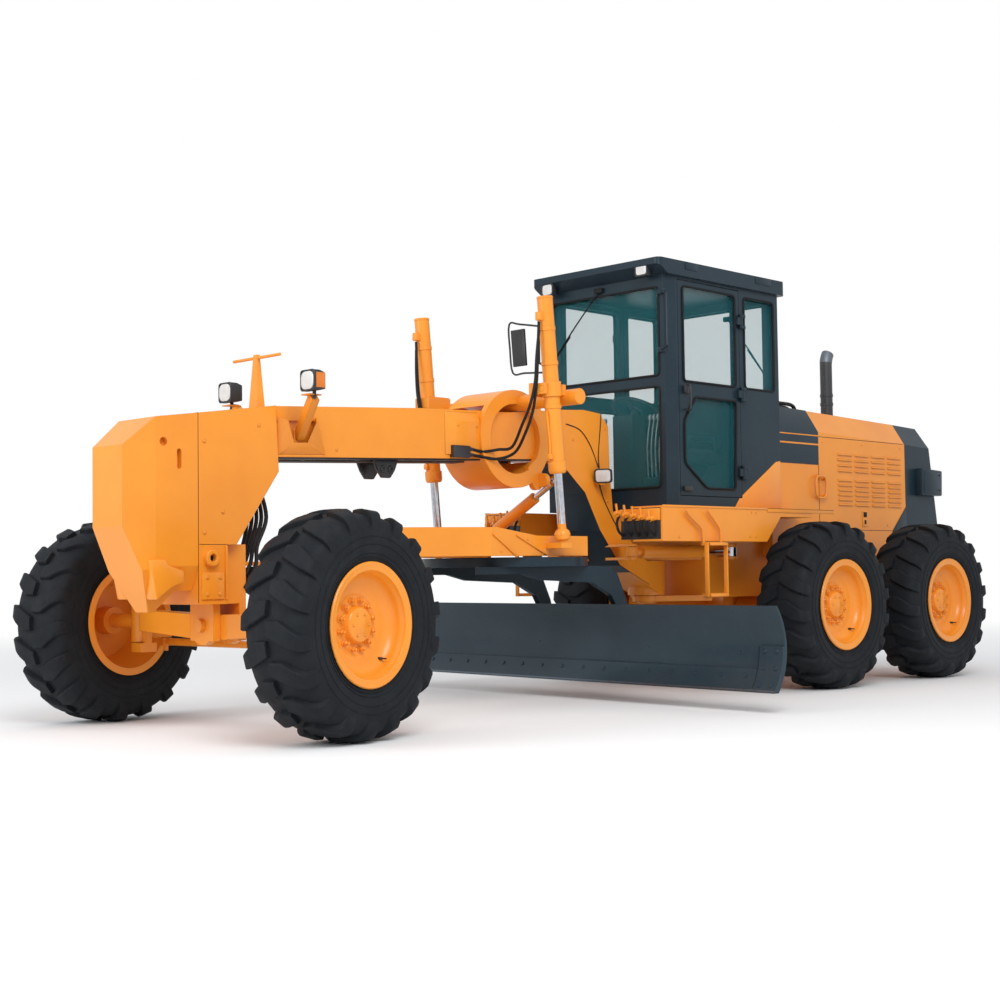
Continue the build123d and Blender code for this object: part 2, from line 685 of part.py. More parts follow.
# Front frame: beam, gooseneck, hinge foot, front box, axle bracket, hitch lugs and cylinder brackets
arch_ahead = lift_eye_ahead - 505
beam_front_low = 1672
artic_out = 42
pocket_depth = 25
sight_z = beam_front_top + 315
with BuildPart() as front_frame:
    with BuildSketch(Plane.XZ.offset(-beam_half_w)):
        with BuildLine():
            Polyline(*outline([(hitch_ahead, beam_front_top), (4200, 2060), (3400, 2082),
                               (arch_ahead, 2135), (2600, 2150),
                               (2420, 2135), (2318, 2040), (2310, 1700), (2278, 1395), (2205, 1345),
                               (2040, 1130),
                               (1930, foot_high + 25), (1880, foot_high), (hinge_ahead, foot_high),
                               (hinge_ahead, foot_low), (2206, 984), (2432, 1250), (2596, 1529),
                               (arch_ahead, 1744),
                               (3160, 1756), (4200, 1719),
                               (hitch_ahead, beam_front_low)]), close=True)
        make_face()
    extrude(amount=2 * beam_half_w)
    with Locations((hinge_x, 0, foot_low)):
        Cylinder(foot_r, foot_high - foot_low, align=(Align.CENTER, Align.CENTER, Align.MIN))
    with BuildSketch(Plane.XZ.offset(-box_half_w)):
        with BuildLine():
            Polyline(*outline([(hitch_ahead, beam_front_top), (hitch_ahead - 20, 1580), (wheelbase, 1127),
                               (wheelbase + 70, 1127), (wheelbase + 70, box_low),
                               (nose_joint_ahead, box_low),
                               (nose_joint_ahead, nose_top)]), close=True)
        make_face()
    extrude(amount=2 * box_half_w)
    for sign in (1, -1):
        with BuildSketch(Plane.XZ.offset(-sign * beam_half_w)):
            with BuildLine():
                Polyline(*outline([(hitch_ahead - 30, 1900), (hitch_ahead - 100, 1715),
                                   (hitch_ahead - 400, 1730),
                                   (hitch_ahead - 330, 1915)]), close=True)
            make_face()
        extrude(amount=sign * pocket_depth, mode=Mode.SUBTRACT)
    for edge in (front_axle_x + axle_depth / 2 + axle_gap,
                 front_axle_x - axle_depth / 2 - axle_gap - bracket_t):
        with Locations((edge, 0, bracket_low)):
            Box(bracket_t, 240, box_low + 100 - bracket_low, align=(Align.MIN, Align.CENTER, Align.MIN))
        with BuildSketch(Plane.YZ.offset(edge)):
            with Locations((0, axle_z)):
                Circle(120)
        extrude(amount=bracket_t)
    with Locations((front_axle_x, 0, box_low)):
        Box(axle_depth + 2 * bracket_t + 2 * axle_gap, 240, 360, align=(Align.CENTER, Align.CENTER,
                                                                        Align.MIN))
    with Locations((front_axle_x, 0, axle_z)):
        Cylinder(axle_pin_r + axle_gap, 600, rotation=(0, 90, 0), mode=Mode.SUBTRACT)
    for end in (1, -1):
        lug_z = hitch_z + end * (hitch_block * 0.65 + side_gap + hitch_lug_t / 2)
        with BuildSketch(Plane.XY.offset(lug_z - hitch_lug_t / 2)):
            with Locations((ahead(hitch_ahead), 0)):
                Circle(hitch_block / 2)
                Rectangle(wheelbase - hitch_ahead, hitch_block, align=(Align.MIN, Align.CENTER))
        extrude(amount=hitch_lug_t)
    with Locations((ahead(hitch_ahead), 0, hitch_z)):
        Cylinder(hitch_pin_r + pin_gap, 400, mode=Mode.SUBTRACT)
    for sign in (1, -1):
        for low in (artic_z - artic_eye_half - side_gap - lug_t, artic_z + artic_eye_half + side_gap):
            with BuildSketch(Plane.XY.offset(low)):
                with BuildLine():
                    Polyline((ahead(artic_front_ahead - 150), sign * 120), (ahead(artic_front_ahead - 20),
                                                                            sign * 120),
                             (ahead(artic_front_ahead + artic_out), sign * artic_front_y),
                             (ahead(artic_front_ahead - artic_out), sign * artic_front_y), close=True)
                make_face()
                with Locations((ahead(artic_front_ahead), sign * artic_front_y)):
                    Circle(artic_out)
            extrude(amount=lug_t)
        with Locations((ahead(artic_front_ahead), sign * artic_front_y, artic_z)):
            Cylinder(artic_pin_r, 2 * artic_eye_half + 2 * side_gap + 2 * lug_t)
    with Locations((hinge_x, 0, foot_low)):
        Cylinder(hinge_pin_r + pin_gap, 400, align=(Align.CENTER, Align.CENTER, Align.MIN),
                 mode=Mode.SUBTRACT)
    for post_z, post_len, post_w in ((beam_front_top - 10, 60, 90), (sight_z + 20, 24, 34)):
        with BuildSketch(Plane.XY.offset(post_z)):
            with Locations((ahead(hitch_ahead), 0)):
                Rectangle(post_len, post_w)
    loft(ruled=True)
    with Locations((ahead(hitch_ahead), 0, sight_z)):
        Cylinder(10, 480, rotation=(90, 0, 0))
save("front_frame", front_frame.part)

# Nose weight: the casting in front of the frame, drawn in to its face, with a hole and a slot each side
lifting_hole_r = 25
slot_len = 120
slot_w = 30
nose_pocket = 40
with BuildPart() as nose_weight:
    with BuildSketch(Plane.XZ.offset(-box_half_w)):
        with BuildLine():
            Polyline(*outline([(nose_joint_ahead + seat_gap, nose_low + 125),
                               (nose_joint_ahead + 125, nose_low + 120),
                               (nose_joint_ahead + 225, nose_low), (nose_joint_ahead + 265, nose_low),
                               (nose_front_ahead, nose_face_low), (nose_front_ahead, nose_face_high),
                               (nose_front_ahead - 200, nose_top - 40), (nose_joint_ahead + seat_gap,
                               nose_top)]),
                     close=True)
        make_face()
    extrude(amount=2 * box_half_w)
    with BuildSketch():
        with BuildLine():
            Polyline((ahead(nose_joint_ahead), box_half_w), (ahead(nose_front_ahead - 200), box_half_w),
                     (ahead(nose_front_ahead), nose_face_half_w), (ahead(nose_front_ahead),
                                                                   -nose_face_half_w),
                     (ahead(nose_front_ahead - 200), -box_half_w), (ahead(nose_joint_ahead), -box_half_w),
                     close=True)
        make_face()
    extrude(amount=nose_top + 10, mode=Mode.INTERSECT)
    with BuildSketch(Plane.YZ.offset(ahead(nose_joint_ahead))):
        with BuildLine():
            Polyline((box_half_w, nose_top), (box_half_w, nose_low + 270), (nose_toe_half_w, nose_low),
                     (-nose_toe_half_w, nose_low), (-box_half_w, nose_low + 270), (-box_half_w, nose_top),
                     close=True)
        make_face()
    extrude(amount=nose_front_ahead - nose_joint_ahead, mode=Mode.INTERSECT)
    for sign in (1, -1):
        with BuildSketch(Plane.XZ.offset(-sign * box_half_w)):
            with Locations((ahead(nose_joint_ahead + 240), nose_top - 184)):
                Circle(lifting_hole_r)
            with Locations((ahead(nose_joint_ahead + 132), nose_top - 281)):
                SlotOverall(slot_len, slot_w, rotation=90)
        extrude(amount=sign * nose_pocket, mode=Mode.SUBTRACT)
save("nose_weight", nose_weight.part)

# Head lamps on their arms, seated on the sides of the frame's front box
with BuildPart() as head_lamps:
    for sign in (1, -1):
        with Locations((ahead(hitch_ahead - 100), sign * 425, 2128)):
            Box(110, 190, 130)
        lamp_foot = (ahead(hitch_ahead - 60), sign * (beam_half_w + seat_gap), beam_front_top - 45)
        with BuildLine():
            Line(lamp_foot, (ahead(hitch_ahead - 100), sign * 425, 2090))
        with BuildSketch(Plane(origin=lamp_foot, z_dir=(0, sign, 0))):
            Rectangle(50, 50)
        sweep()
save("head_lamps", head_lamps.part)

# Front axle with the yokes that hold the king pins
with BuildPart() as front_axle:
    with BuildSketch(Plane.YZ.offset(front_axle_x - axle_depth / 2)):
        with BuildLine():
            Polyline((-king_y + knuckle_r + side_gap + yoke_web, axle_z - axle_h / 2 + 20),
                     (-150, axle_z - axle_h / 2 - 20), (150, axle_z - axle_h / 2 - 20),
                     (king_y - knuckle_r - side_gap - yoke_web, axle_z - axle_h / 2 + 20),
                     (king_y - knuckle_r - side_gap - yoke_web, axle_z + axle_h / 2 + 20),
                     (150, axle_z + axle_h / 2), (-150, axle_z + axle_h / 2),
                     (-king_y + knuckle_r + side_gap + yoke_web, axle_z + axle_h / 2 + 20), close=True)
        make_face()
    extrude(amount=axle_depth)
    with Locations((front_axle_x, 0, axle_z)):
        Cylinder(axle_pin_r, axle_depth + 2 * bracket_t + 60, rotation=(0, 90, 0))
    for sign in (1, -1):
        web_y = sign * (king_y - knuckle_r - side_gap - yoke_web / 2)
        with Locations((front_axle_x, web_y, tyre_r)):
            Box(yoke_web_w, yoke_web, knuckle_h + 2 * side_gap + 2 * axle_yoke_t)
        for end in (1, -1):
            arm_z = tyre_r + end * (knuckle_h / 2 + side_gap + axle_yoke_t / 2)
            with BuildSketch(Plane.XY.offset(arm_z - axle_yoke_t / 2)):
                with Locations((front_axle_x, sign * king_y)):
                    Circle(knuckle_r)
                with Locations((front_axle_x, sign * (king_y - knuckle_r - side_gap - yoke_web / 2))):
                    Rectangle(2 * knuckle_r, yoke_web)
                with Locations((front_axle_x, sign * (king_y - (knuckle_r + side_gap) / 2))):
                    Rectangle(2 * knuckle_r, knuckle_r + side_gap)
            extrude(amount=axle_yoke_t)
        with Locations((front_axle_x, sign * king_y, tyre_r)):
            Cylinder(king_pin_r, knuckle_h + 2 * side_gap + 2 * axle_yoke_t)
save("front_axle", front_axle.part)

# Steering knuckles with their spindles and arms, and the tie rod between the arms
arm_end = [-steer_arm * steer_heading[0], -steer_arm * steer_heading[1]]
for side, sign in (("left", 1), ("right", -1)):
    pin_at = (front_axle_x, sign * king_y)
    outward = tuple(sign * v for v in steer_left)
    with BuildPart() as knuckle:
        with Locations((*pin_at, tyre_r)):
            Cylinder(knuckle_r, knuckle_h)
        with BuildSketch(Plane(origin=(*pin_at, tyre_r), x_dir=steer_heading, z_dir=outward)):
            Circle(spindle_r)
        extrude(amount=front_offset + dish_out)
        with BuildSketch(Plane(origin=(*pin_at, steer_arm_z), x_dir=steer_heading, z_dir=(0, 0, 1))):
            with Locations((-steer_arm / 2, 0)):
                Rectangle(steer_arm, steer_arm_w)
            with Locations((-steer_arm, 0)):
                Circle(38)
        extrude(amount=steer_arm_t / 2, both=True)
        with Locations((*pin_at, tyre_r)):
            Cylinder(king_pin_r + pin_gap, knuckle_h, mode=Mode.SUBTRACT)
        with Locations((pin_at[0] + arm_end[0], pin_at[1] + arm_end[1], steer_arm_z)):
            Cylinder(16, 3 * steer_arm_t, align=(Align.CENTER, Align.CENTER, Align.MAX))
    save(f"knuckle_{side}", knuckle.part)
tie_z = steer_arm_z - steer_arm_t / 2 - side_gap - tie_rod_r - 2
with BuildPart() as tie_rod:
    with Locations((front_axle_x + arm_end[0], arm_end[1], tie_z)):
        Cylinder(tie_rod_r, 2 * king_y, rotation=(90, 0, 0))
    for sign in (1, -1):
        with Locations((front_axle_x + arm_end[0], arm_end[1] + sign * king_y, tie_z)):
            Cylinder(34, 2 * tie_rod_r + 4)
            Cylinder(16 + pin_gap, 3 * tie_rod_r, mode=Mode.SUBTRACT)
save("tie_rod", tie_rod.part)

# Saddle: a ring plate on each side of the beam, the cross tube behind the lift cylinders and their yokes
tube_x = ahead(lift_pivot_ahead - saddle_tube_back)
collar_r = lift_barrel_r + 14
yoke_reach = collar_r + yoke_gap + yoke_t
ear_x = ahead(shift_ear_ahead)
ear_z = shift_high_z - 20
with BuildPart() as saddle:
    with BuildSketch(Plane.XZ.offset(-beam_half_w - seat_gap)):
        with Locations((ahead(saddle_ahead), saddle_z)):
            Circle(saddle_r)
        with BuildLine():
            Polyline((tube_x - saddle_tube_r, saddle_tube_z), (tube_x - saddle_tube_r - 30, saddle_z),
                     (ahead(saddle_ahead) + saddle_r, saddle_z), (ahead(saddle_ahead) + 260, 2120),
                     (tube_x + 60, saddle_tube_z + saddle_tube_r),
                     (tube_x, saddle_tube_z + saddle_tube_r), close=True)
        make_face()
        with Locations((ahead(saddle_ahead), saddle_z)):
            Circle(saddle_hole_r, mode=Mode.SUBTRACT)
    extrude(amount=-saddle_t)
    mirror(about=Plane.XZ)
    with BuildSketch(Plane.XZ.offset(-beam_half_w - seat_gap)):
        with Locations((ahead(saddle_ahead), saddle_z)):
            Circle(saddle_r)
            Circle(saddle_hole_r, mode=Mode.SUBTRACT)
        with Locations((ahead(saddle_ahead), (beam_under + beam_over) / 2)):
            Rectangle(2 * saddle_r, beam_over - beam_under + 2 * seat_gap, mode=Mode.SUBTRACT)
    extrude(amount=2 * beam_half_w + 2 * seat_gap)
    with BuildSketch(Plane.XZ.offset(-beam_half_w - seat_gap)):
        with BuildLine():
            Polyline((ear_x - ear_r, ear_z), (ear_x - ear_r + 20, saddle_z - 100),
                     (ear_x + 100, saddle_z - 200),
                     (ear_x + ear_r, ear_z), close=True)
        make_face()
        with Locations((ear_x, ear_z)):
            Circle(ear_r)
    extrude(amount=-saddle_t)
    with Locations((tube_x, 0, saddle_tube_z)):
        Cylinder(saddle_tube_r, 2 * saddle_tube_half, rotation=(90, 0, 0))
    for sign in (1, -1):
        for end in (1, -1):
            with Locations((ahead(lift_pivot_ahead) + end * (yoke_reach - yoke_t / 2),
                            sign * (lift_y - 45), lift_pivot_z)):
                Box(yoke_t, 150, 76)
        with Locations((ahead(lift_pivot_ahead), sign * (lift_y - 108), lift_pivot_z)):
            Box(2 * yoke_reach, yoke_t, 90)
        with Locations((tube_x + saddle_tube_r - 20, sign * (lift_y - 45), lift_pivot_z)):
            Box(saddle_tube_back - saddle_tube_r - yoke_reach + 22, 150, 76,
                align=(Align.MIN, Align.CENTER, Align.CENTER))
        with Locations((ahead(lift_pivot_ahead), sign * lift_y, lift_pivot_z)):
            Cylinder(lift_pin_r + pin_gap, 2 * yoke_reach + 10, rotation=(0, 90, 0), mode=Mode.SUBTRACT)
    with BuildSketch(Plane.YZ.offset(ahead(shift_ear_ahead) - ear_r + 5)):
        with Locations((shift_high_y, shift_high_z)):
            Circle(50)
        with Locations((beam_half_w + seat_gap, shift_high_z)):
            Rectangle(shift_high_y - beam_half_w, 100, align=(Align.MIN, Align.CENTER))
    extrude(amount=40)
save("saddle", saddle.part)

# Lift cylinders: barrel with its trunnion collar, and the rod with the eye at the drawbar
lift_rise = lift_pivot_z - lift_eye_z
lift_back = lift_pivot_ahead - lift_eye_ahead
lift_len = (lift_rise ** 2 + lift_back ** 2) ** 0.5
lift_dir = (lift_back / lift_len, 0, lift_rise / lift_len)
barrel_below = 560
barrel_above = 640
rod_inside = 480
for side, sign in (("left", 1), ("right", -1)):
    pivot = Vector(ahead(lift_pivot_ahead), sign * lift_y, lift_pivot_z)
    barrel_plane = Plane(origin=pivot, x_dir=(0, 1, 0), z_dir=lift_dir)
    with BuildPart() as barrel:
        with BuildSketch(barrel_plane.offset(-barrel_below)):
            Circle(lift_barrel_r)
        extrude(amount=barrel_below + barrel_above)
        with BuildSketch(barrel_plane.offset(-50)):
            Circle(collar_r)
        extrude(amount=100)
        with BuildSketch(barrel_plane.offset(-barrel_below)):
            Circle(lift_barrel_r + 7)
        extrude(amount=60)
        with Locations(pivot):
            Cylinder(lift_pin_r, 2 * yoke_reach, rotation=(0, 90, 0))
        with BuildSketch(barrel_plane.offset(-barrel_below)):
            Circle(lift_rod_r + pin_gap)
        extrude(amount=barrel_below + rod_inside, mode=Mode.SUBTRACT)
    save(f"lift_barrel_{side}", barrel.part)
    with BuildPart() as rod:
        with BuildSketch(barrel_plane.offset(-lift_len)):
            Circle(lift_rod_r)
        extrude(amount=lift_len)
        with Locations((ahead(lift_eye_ahead), sign * lift_y, lift_eye_z)):
            Sphere(lift_ball_r)
    save(f"lift_rod_{side}", rod.part)

# Drawbar: two side beams from the hitch, the deck over the circle and the shoes that hold it
fork_in = hitch_block / 2 + side_gap
fork_out = fork_in + 30
lip_low = circle_high - circle_lip_t - seat_gap
shoe_face = circle_lip_r - seat_gap
shoe_in = shoe_face - shoe_t
with BuildPart() as drawbar:
    with BuildSketch(Plane.XY.offset(800)):
        with BuildLine():
            Polyline((ahead(hitch_ahead + 60), fork_out), (ahead(hitch_ahead - 110), fork_out),
                     (ahead(3950), drawbar_half_w), (ahead(drawbar_rear_ahead), drawbar_half_w),
                     (ahead(drawbar_rear_ahead), -drawbar_half_w), (ahead(3950), -drawbar_half_w),
                     (ahead(hitch_ahead - 110), -fork_out), (ahead(hitch_ahead + 60), -fork_out),
                     close=True)
        make_face()
        with BuildLine():
            Polyline((ahead(hitch_ahead - 400), 0), (ahead(3930), drawbar_half_w - drawbar_beam_w),
                     (ahead(drawbar_rear_ahead - 10), drawbar_half_w - drawbar_beam_w),
                     (ahead(drawbar_rear_ahead - 10), -drawbar_half_w + drawbar_beam_w),
                     (ahead(3930), -drawbar_half_w + drawbar_beam_w), close=True)
        make_face(mode=Mode.SUBTRACT)
        with Locations((ahead(hitch_ahead - 70), 0)):
            Rectangle(300, 2 * fork_in, align=(Align.MIN, Align.CENTER), mode=Mode.SUBTRACT)
    extrude(amount=500)
    with BuildSketch(Plane.XZ.offset(-drawbar_half_w - 10)):
        with BuildLine():
            Polyline(*outline([(drawbar_rear_ahead, drawbar_low), (4750, drawbar_low), (5350, 870),
                               (hitch_ahead + 60, 870),
                               (hitch_ahead + 60, 990), (5400, 990), (4850, 1240), (3900, 1245),
                               (3500, 1190),
                               (drawbar_rear_ahead, 1190)]), close=True)
        make_face()
    extrude(amount=2 * drawbar_half_w + 20, mode=Mode.INTERSECT)
    with Locations((ahead(drawbar_rear_ahead), 0, deck_low)):
        Box(3930 - drawbar_rear_ahead, 2 * drawbar_half_w - drawbar_beam_w, deck_high - deck_low,
            align=(Align.MIN, Align.CENTER, Align.MIN))
    with Locations((ahead(drawbar_rear_ahead), 0, deck_low)):
        Box(70, 2 * drawbar_half_w - drawbar_beam_w, 1190 - deck_low, align=(Align.MIN, Align.CENTER,
                                                                             Align.MIN))
    with Locations((ahead(3870), 0, drawbar_low)):
        Box(70, 2 * drawbar_half_w - drawbar_beam_w, 1190 - drawbar_low, align=(Align.MIN, Align.CENTER,
                                                                                Align.MIN))
    with Locations((ahead(hitch_ahead), 0, hitch_z)):
        Cylinder(hitch_pin_r + pin_gap, 400, rotation=(90, 0, 0), mode=Mode.SUBTRACT)
    for angle in shoe_angles:
        radial = (cos(radians(angle)), sin(radians(angle)), 0)
        with BuildSketch(Plane(origin=(circle_x, 0, 0), x_dir=radial, z_dir=(radial[1], -radial[0], 0))):
            with BuildLine():
                Polyline((shoe_in, deck_low), (shoe_face, deck_low), (shoe_face, lip_low),
                         (shoe_face + shoe_t, lip_low),
                         (shoe_face + shoe_t, circle_low + 12), (shoe_in, circle_low + 12), close=True)
            make_face()
        revolve(axis=Axis((circle_x, 0, 0), (0, 0, 1)), revolution_arc=shoe_arc)
    with BuildSketch(Plane.YZ.offset(ahead(shift_ahead + artic_eye_half))):
        with Locations((shift_low_y, shift_low_z)):
            Circle(40)
            Rectangle(80, shift_low_z - deck_low, align=(Align.CENTER, Align.MAX))
    extrude(amount=30)
    for sign in (1, -1):
        with Locations((ahead(lift_eye_ahead), sign * (drawbar_half_w - 10),
                        lift_eye_z - lift_ball_r - lift_seat_gap)):
            Box(110, lift_y + lift_ball_r - drawbar_half_w + 10, 40,
                align=(Align.CENTER, Align.MIN if sign > 0 else Align.MAX, Align.MAX))
    with Locations((ahead(shift_ahead - 30), shift_low_y, shift_low_z)):
        Cylinder(18, 90, rotation=(0, 90, 0), align=(Align.CENTER, Align.CENTER, Align.MIN))
save("drawbar", drawbar.part)

# Hitch swivel: the block that lets the drawbar swing and lift at its front end
with BuildPart() as hitch_swivel:
    with Locations((ahead(hitch_ahead), 0, hitch_z)):
        Box(hitch_block, hitch_block, 1.3 * hitch_block)
        Cylinder(hitch_pin_r, 1.3 * hitch_block + 2 * side_gap + 2 * hitch_lug_t)
        Cylinder(hitch_pin_r, 2 * fork_out, rotation=(90, 0, 0))
save("hitch_swivel", hitch_swivel.part)

# Circle: the turning ring, hung by its inner lip on the drawbar's shoes, and the arms that carry the blade
with BuildPart() as circle:
    with BuildSketch(Plane(origin=(circle_x, 0, 0), x_dir=blade_forward, z_dir=[-v for v in blade_left])):
        with BuildLine():
            Polyline((circle_inner_r, circle_low), (circle_r, circle_low), (circle_r, circle_high),
                     (circle_lip_r, circle_high), (circle_lip_r, circle_high - circle_lip_t),
                     (circle_inner_r, circle_high - circle_lip_t), close=True)
        make_face()
    revolve(axis=Axis((circle_x, 0, 0), (0, 0, 1)))
    for sign in (1, -1):
        with BuildSketch(blade_side_plane.offset(sign * arm_y - arm_t / 2)):
            with BuildLine():
                Polyline((596, circle_low + 3), (-590, circle_low + 3), (-700, 920), (-tip_back - 10, 724),
                         (-tip_back - arm_end_r, tip_z + 30), (-tip_back - arm_end_r, tip_z),
                         (-tip_back + arm_end_r, tip_z), (-tip_back + arm_end_r, 640),
                         (-640, 760), (-450, 858), (26, 881), (203, 925), (596, 925), close=True)
            make_face()
            with Locations((-tip_back, tip_z)):
                Circle(arm_end_r)
        extrude(amount=arm_t)
    with BuildSketch(blade_side_plane.offset(-arm_y - arm_t)):
        with Locations((-tip_back, tip_z)):
            Circle(tip_pin_r + pin_gap)
    extrude(amount=2 * arm_y + 2 * arm_t, mode=Mode.SUBTRACT)
save("circle", circle.part)

# Blade carrier: tips between the arms, guides the blade's rails and holds the side-shift barrel
barrel_right = 800
with BuildPart() as blade_carrier:
    for sign in (1, -1):
        with BuildSketch(blade_side_plane.offset(sign * carrier_y - carrier_t / 2)):
            with BuildLine():
                Polyline((-845, 420), (-845, 520), (-760, 665), (-645, 665), (-645, 631), (-696, 631),
                         (-696, 579),
                         (-665, 579), (-665, 545), (-706, 545), (-706, 330), (-680, 330), (-680, 296),
                         (-706, 296),
                         (-706, 244), (-680, 244), (-680, 212), (-760, 212), close=True)
            make_face()
        extrude(amount=carrier_t)
    with BuildSketch(blade_side_plane.offset(-carrier_y)):
        with Locations((-tip_back, tip_z)):
            Circle(52)
    extrude(amount=2 * carrier_y)
    with BuildSketch(blade_side_plane.offset(-arm_y - arm_t / 2)):
        with Locations((-tip_back, tip_z)):
            Circle(tip_pin_r)
    extrude(amount=2 * arm_y + arm_t)
    with BuildSketch(blade_side_plane.offset(-carrier_y - carrier_t / 2)):
        with Locations((-tip_back, slide_z)):
            Circle(slide_r)
    extrude(amount=carrier_y + carrier_t / 2 + barrel_right)
    with BuildSketch(blade_side_plane.offset(-carrier_y - carrier_t / 2)):
        with Locations((-tip_back, slide_z)):
            Circle(slide_rod_r + pin_gap)
    extrude(amount=carrier_y + carrier_t / 2 + barrel_right - 20, mode=Mode.SUBTRACT)
save("blade_carrier", blade_carrier.part)

# Blade: the curved mouldboard with its cutting edge, end bits, rails and side-shift rod
blade_mid_z = (blade_low + blade_high) / 2
blade_shift = 56
bracket_left = 1150
blade_r = ((blade_high - blade_low) ** 2 / 4 + blade_bulge ** 2) / (2 * blade_bulge)
blade_centre_back = blade_back + blade_bulge - blade_r


def face_back(height, inset):
    """How far behind the circle's centre the blade's face lies at this height, less an inset."""
    return blade_centre_back + ((blade_r - inset) ** 2 - (height - blade_mid_z) ** 2) ** 0.5


def strip_points(high, inset):
    """Bottom, middle and top of the face between the toe and this height."""
    return [(-face_back(z, inset), z) for z in (blade_low, (blade_low + high) / 2, high)]


with BuildPart() as blade:
    with BuildSketch(blade_side_plane.offset(-blade_len / 2 + blade_shift)):
        with BuildLine():
            front = ThreePointArc((-blade_back, blade_high), (-blade_back - blade_bulge, blade_mid_z),
                                  (-blade_back, blade_low))
            Line(front @ 1, (-blade_back - blade_t, blade_low))
            back = ThreePointArc((-blade_back - blade_t, blade_low),
                                 (-blade_back - blade_bulge - blade_t, blade_mid_z),
                                 (-blade_back - blade_t, blade_high))
            Line(back @ 1, (-blade_back, blade_high))
        make_face()
    extrude(amount=blade_len)
    left_end = blade_len / 2 + blade_shift - end_bit_w
    for start, length, high in ((-blade_len / 2 + blade_shift, blade_len, blade_low + edge_h),
                                (-blade_len / 2 + blade_shift, end_bit_w, blade_low + end_bit_h),
                                (left_end, end_bit_w, blade_low + end_bit_h)):
        with BuildSketch(blade_side_plane.offset(start)):
            with BuildLine():
                wear = ThreePointArc(*strip_points(high, edge_t))
                seat_arc = ThreePointArc(*strip_points(high, -1))
                Line(wear @ 0, seat_arc @ 0)
                Line(wear @ 1, seat_arc @ 1)
            make_face()
        extrude(amount=length)
    for low, high, rear in ((585, 625, 691), (250, 290, 701)):
        with BuildSketch(blade_side_plane.offset(-rail_len / 2)):
            with Locations((-rear, low)):
                Rectangle(rear - 625, high - low, align=(Align.MIN, Align.MIN))
        extrude(amount=rail_len)
    with BuildSketch(blade_side_plane.offset(-bracket_left - 15)):
        with Locations((-tip_back - 40, slide_z - 40)):
            Rectangle(tip_back + 40 - 650, 80, align=(Align.MIN, Align.MIN))
    extrude(amount=30)
    with BuildSketch(blade_side_plane.offset(-bracket_left)):
        with Locations((-tip_back, slide_z)):
            Circle(slide_rod_r)
    extrude(amount=bracket_left + 200)
save("blade", blade.part)

# Frame cylinders: barrels pinned to the front frame, rods that reach the lugs of the rear frame
artic_len = ((artic_front_ahead - artic_rear_ahead) ** 2 + (artic_rear_y - artic_front_y) ** 2) ** 0.5
artic_bore_start = 120
artic_barrel_end = 760
artic_rod_start = 380
for side, sign in (("left", 1), ("right", -1)):
    front_eye = Vector(ahead(artic_front_ahead), sign * artic_front_y, artic_z)
    rear_eye = Vector(ahead(artic_rear_ahead), sign * artic_rear_y, artic_z)
    artic_plane = Plane(origin=front_eye, x_dir=(0, 0, 1), z_dir=rear_eye - front_eye)
    with BuildPart() as barrel:
        with Locations(front_eye):
            Cylinder(artic_eye_r, 2 * artic_eye_half)
        with BuildSketch(artic_plane):
            Circle(28)
        extrude(amount=artic_bore_start)
        with BuildSketch(artic_plane.offset(artic_bore_start - 30)):
            Circle(artic_barrel_r)
        extrude(amount=artic_barrel_end - artic_bore_start + 30)
        with BuildSketch(artic_plane.offset(artic_bore_start)):
            Circle(artic_pin_r + pin_gap)
        extrude(amount=artic_barrel_end - artic_bore_start, mode=Mode.SUBTRACT)
        with Locations(front_eye):
            Cylinder(artic_pin_r + pin_gap, 3 * artic_eye_half, mode=Mode.SUBTRACT)
    save(f"artic_barrel_{side}", barrel.part)
    with BuildPart() as rod:
        with BuildSketch(artic_plane.offset(artic_rod_start)):
            Circle(artic_pin_r)
        extrude(amount=artic_len - artic_rod_start)
        with Locations(rear_eye):
            Cylinder(artic_eye_r, 2 * artic_eye_half)
            Cylinder(artic_pin_r + pin_gap, 3 * artic_eye_half, mode=Mode.SUBTRACT)
    save(f"artic_rod_{side}", rod.part)

# Side-shift cylinder: barrel pinned to the drawbar's right side, rod to the saddle's left ear
shift_low = Vector(ahead(shift_ahead), shift_low_y, shift_low_z)
shift_high = Vector(ahead(shift_ahead), shift_high_y, shift_high_z)
shift_len = (shift_high - shift_low).length
shift_barrel_end = 520
shift_plane = Plane(origin=shift_low, x_dir=(1, 0, 0), z_dir=shift_high - shift_low)
with BuildPart() as shift_barrel:
    with Locations(shift_low):
        Cylinder(36, 2 * (artic_eye_half - 6), rotation=(0, 90, 0))
    with BuildSketch(shift_plane):
        Circle(20)
    extrude(amount=70)
    with BuildSketch(shift_plane.offset(60)):
        Circle(shift_barrel_r)
    extrude(amount=shift_barrel_end - 60)
    with BuildSketch(shift_plane.offset(80)):
        Circle(shift_rod_r + pin_gap)
    extrude(amount=shift_barrel_end - 80, mode=Mode.SUBTRACT)
    with Locations(shift_low):
        Cylinder(18 + pin_gap, 200, rotation=(0, 90, 0), mode=Mode.SUBTRACT)
save("shift_barrel", shift_barrel.part)
with BuildPart() as shift_rod:
    with BuildSketch(shift_plane.offset(380)):
        Circle(shift_rod_r)
    extrude(amount=shift_len - 380)
    with Locations(shift_high):
        Cylinder(36, 60, rotation=(0, 90, 0))
        Cylinder(18 + pin_gap, 200, rotation=(0, 90, 0), mode=Mode.SUBTRACT)
save("shift_rod", shift_rod.part)
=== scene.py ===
import bpy
import bmesh
from math import pi, sin, cos, radians, sqrt
from mathutils import Matrix, Vector


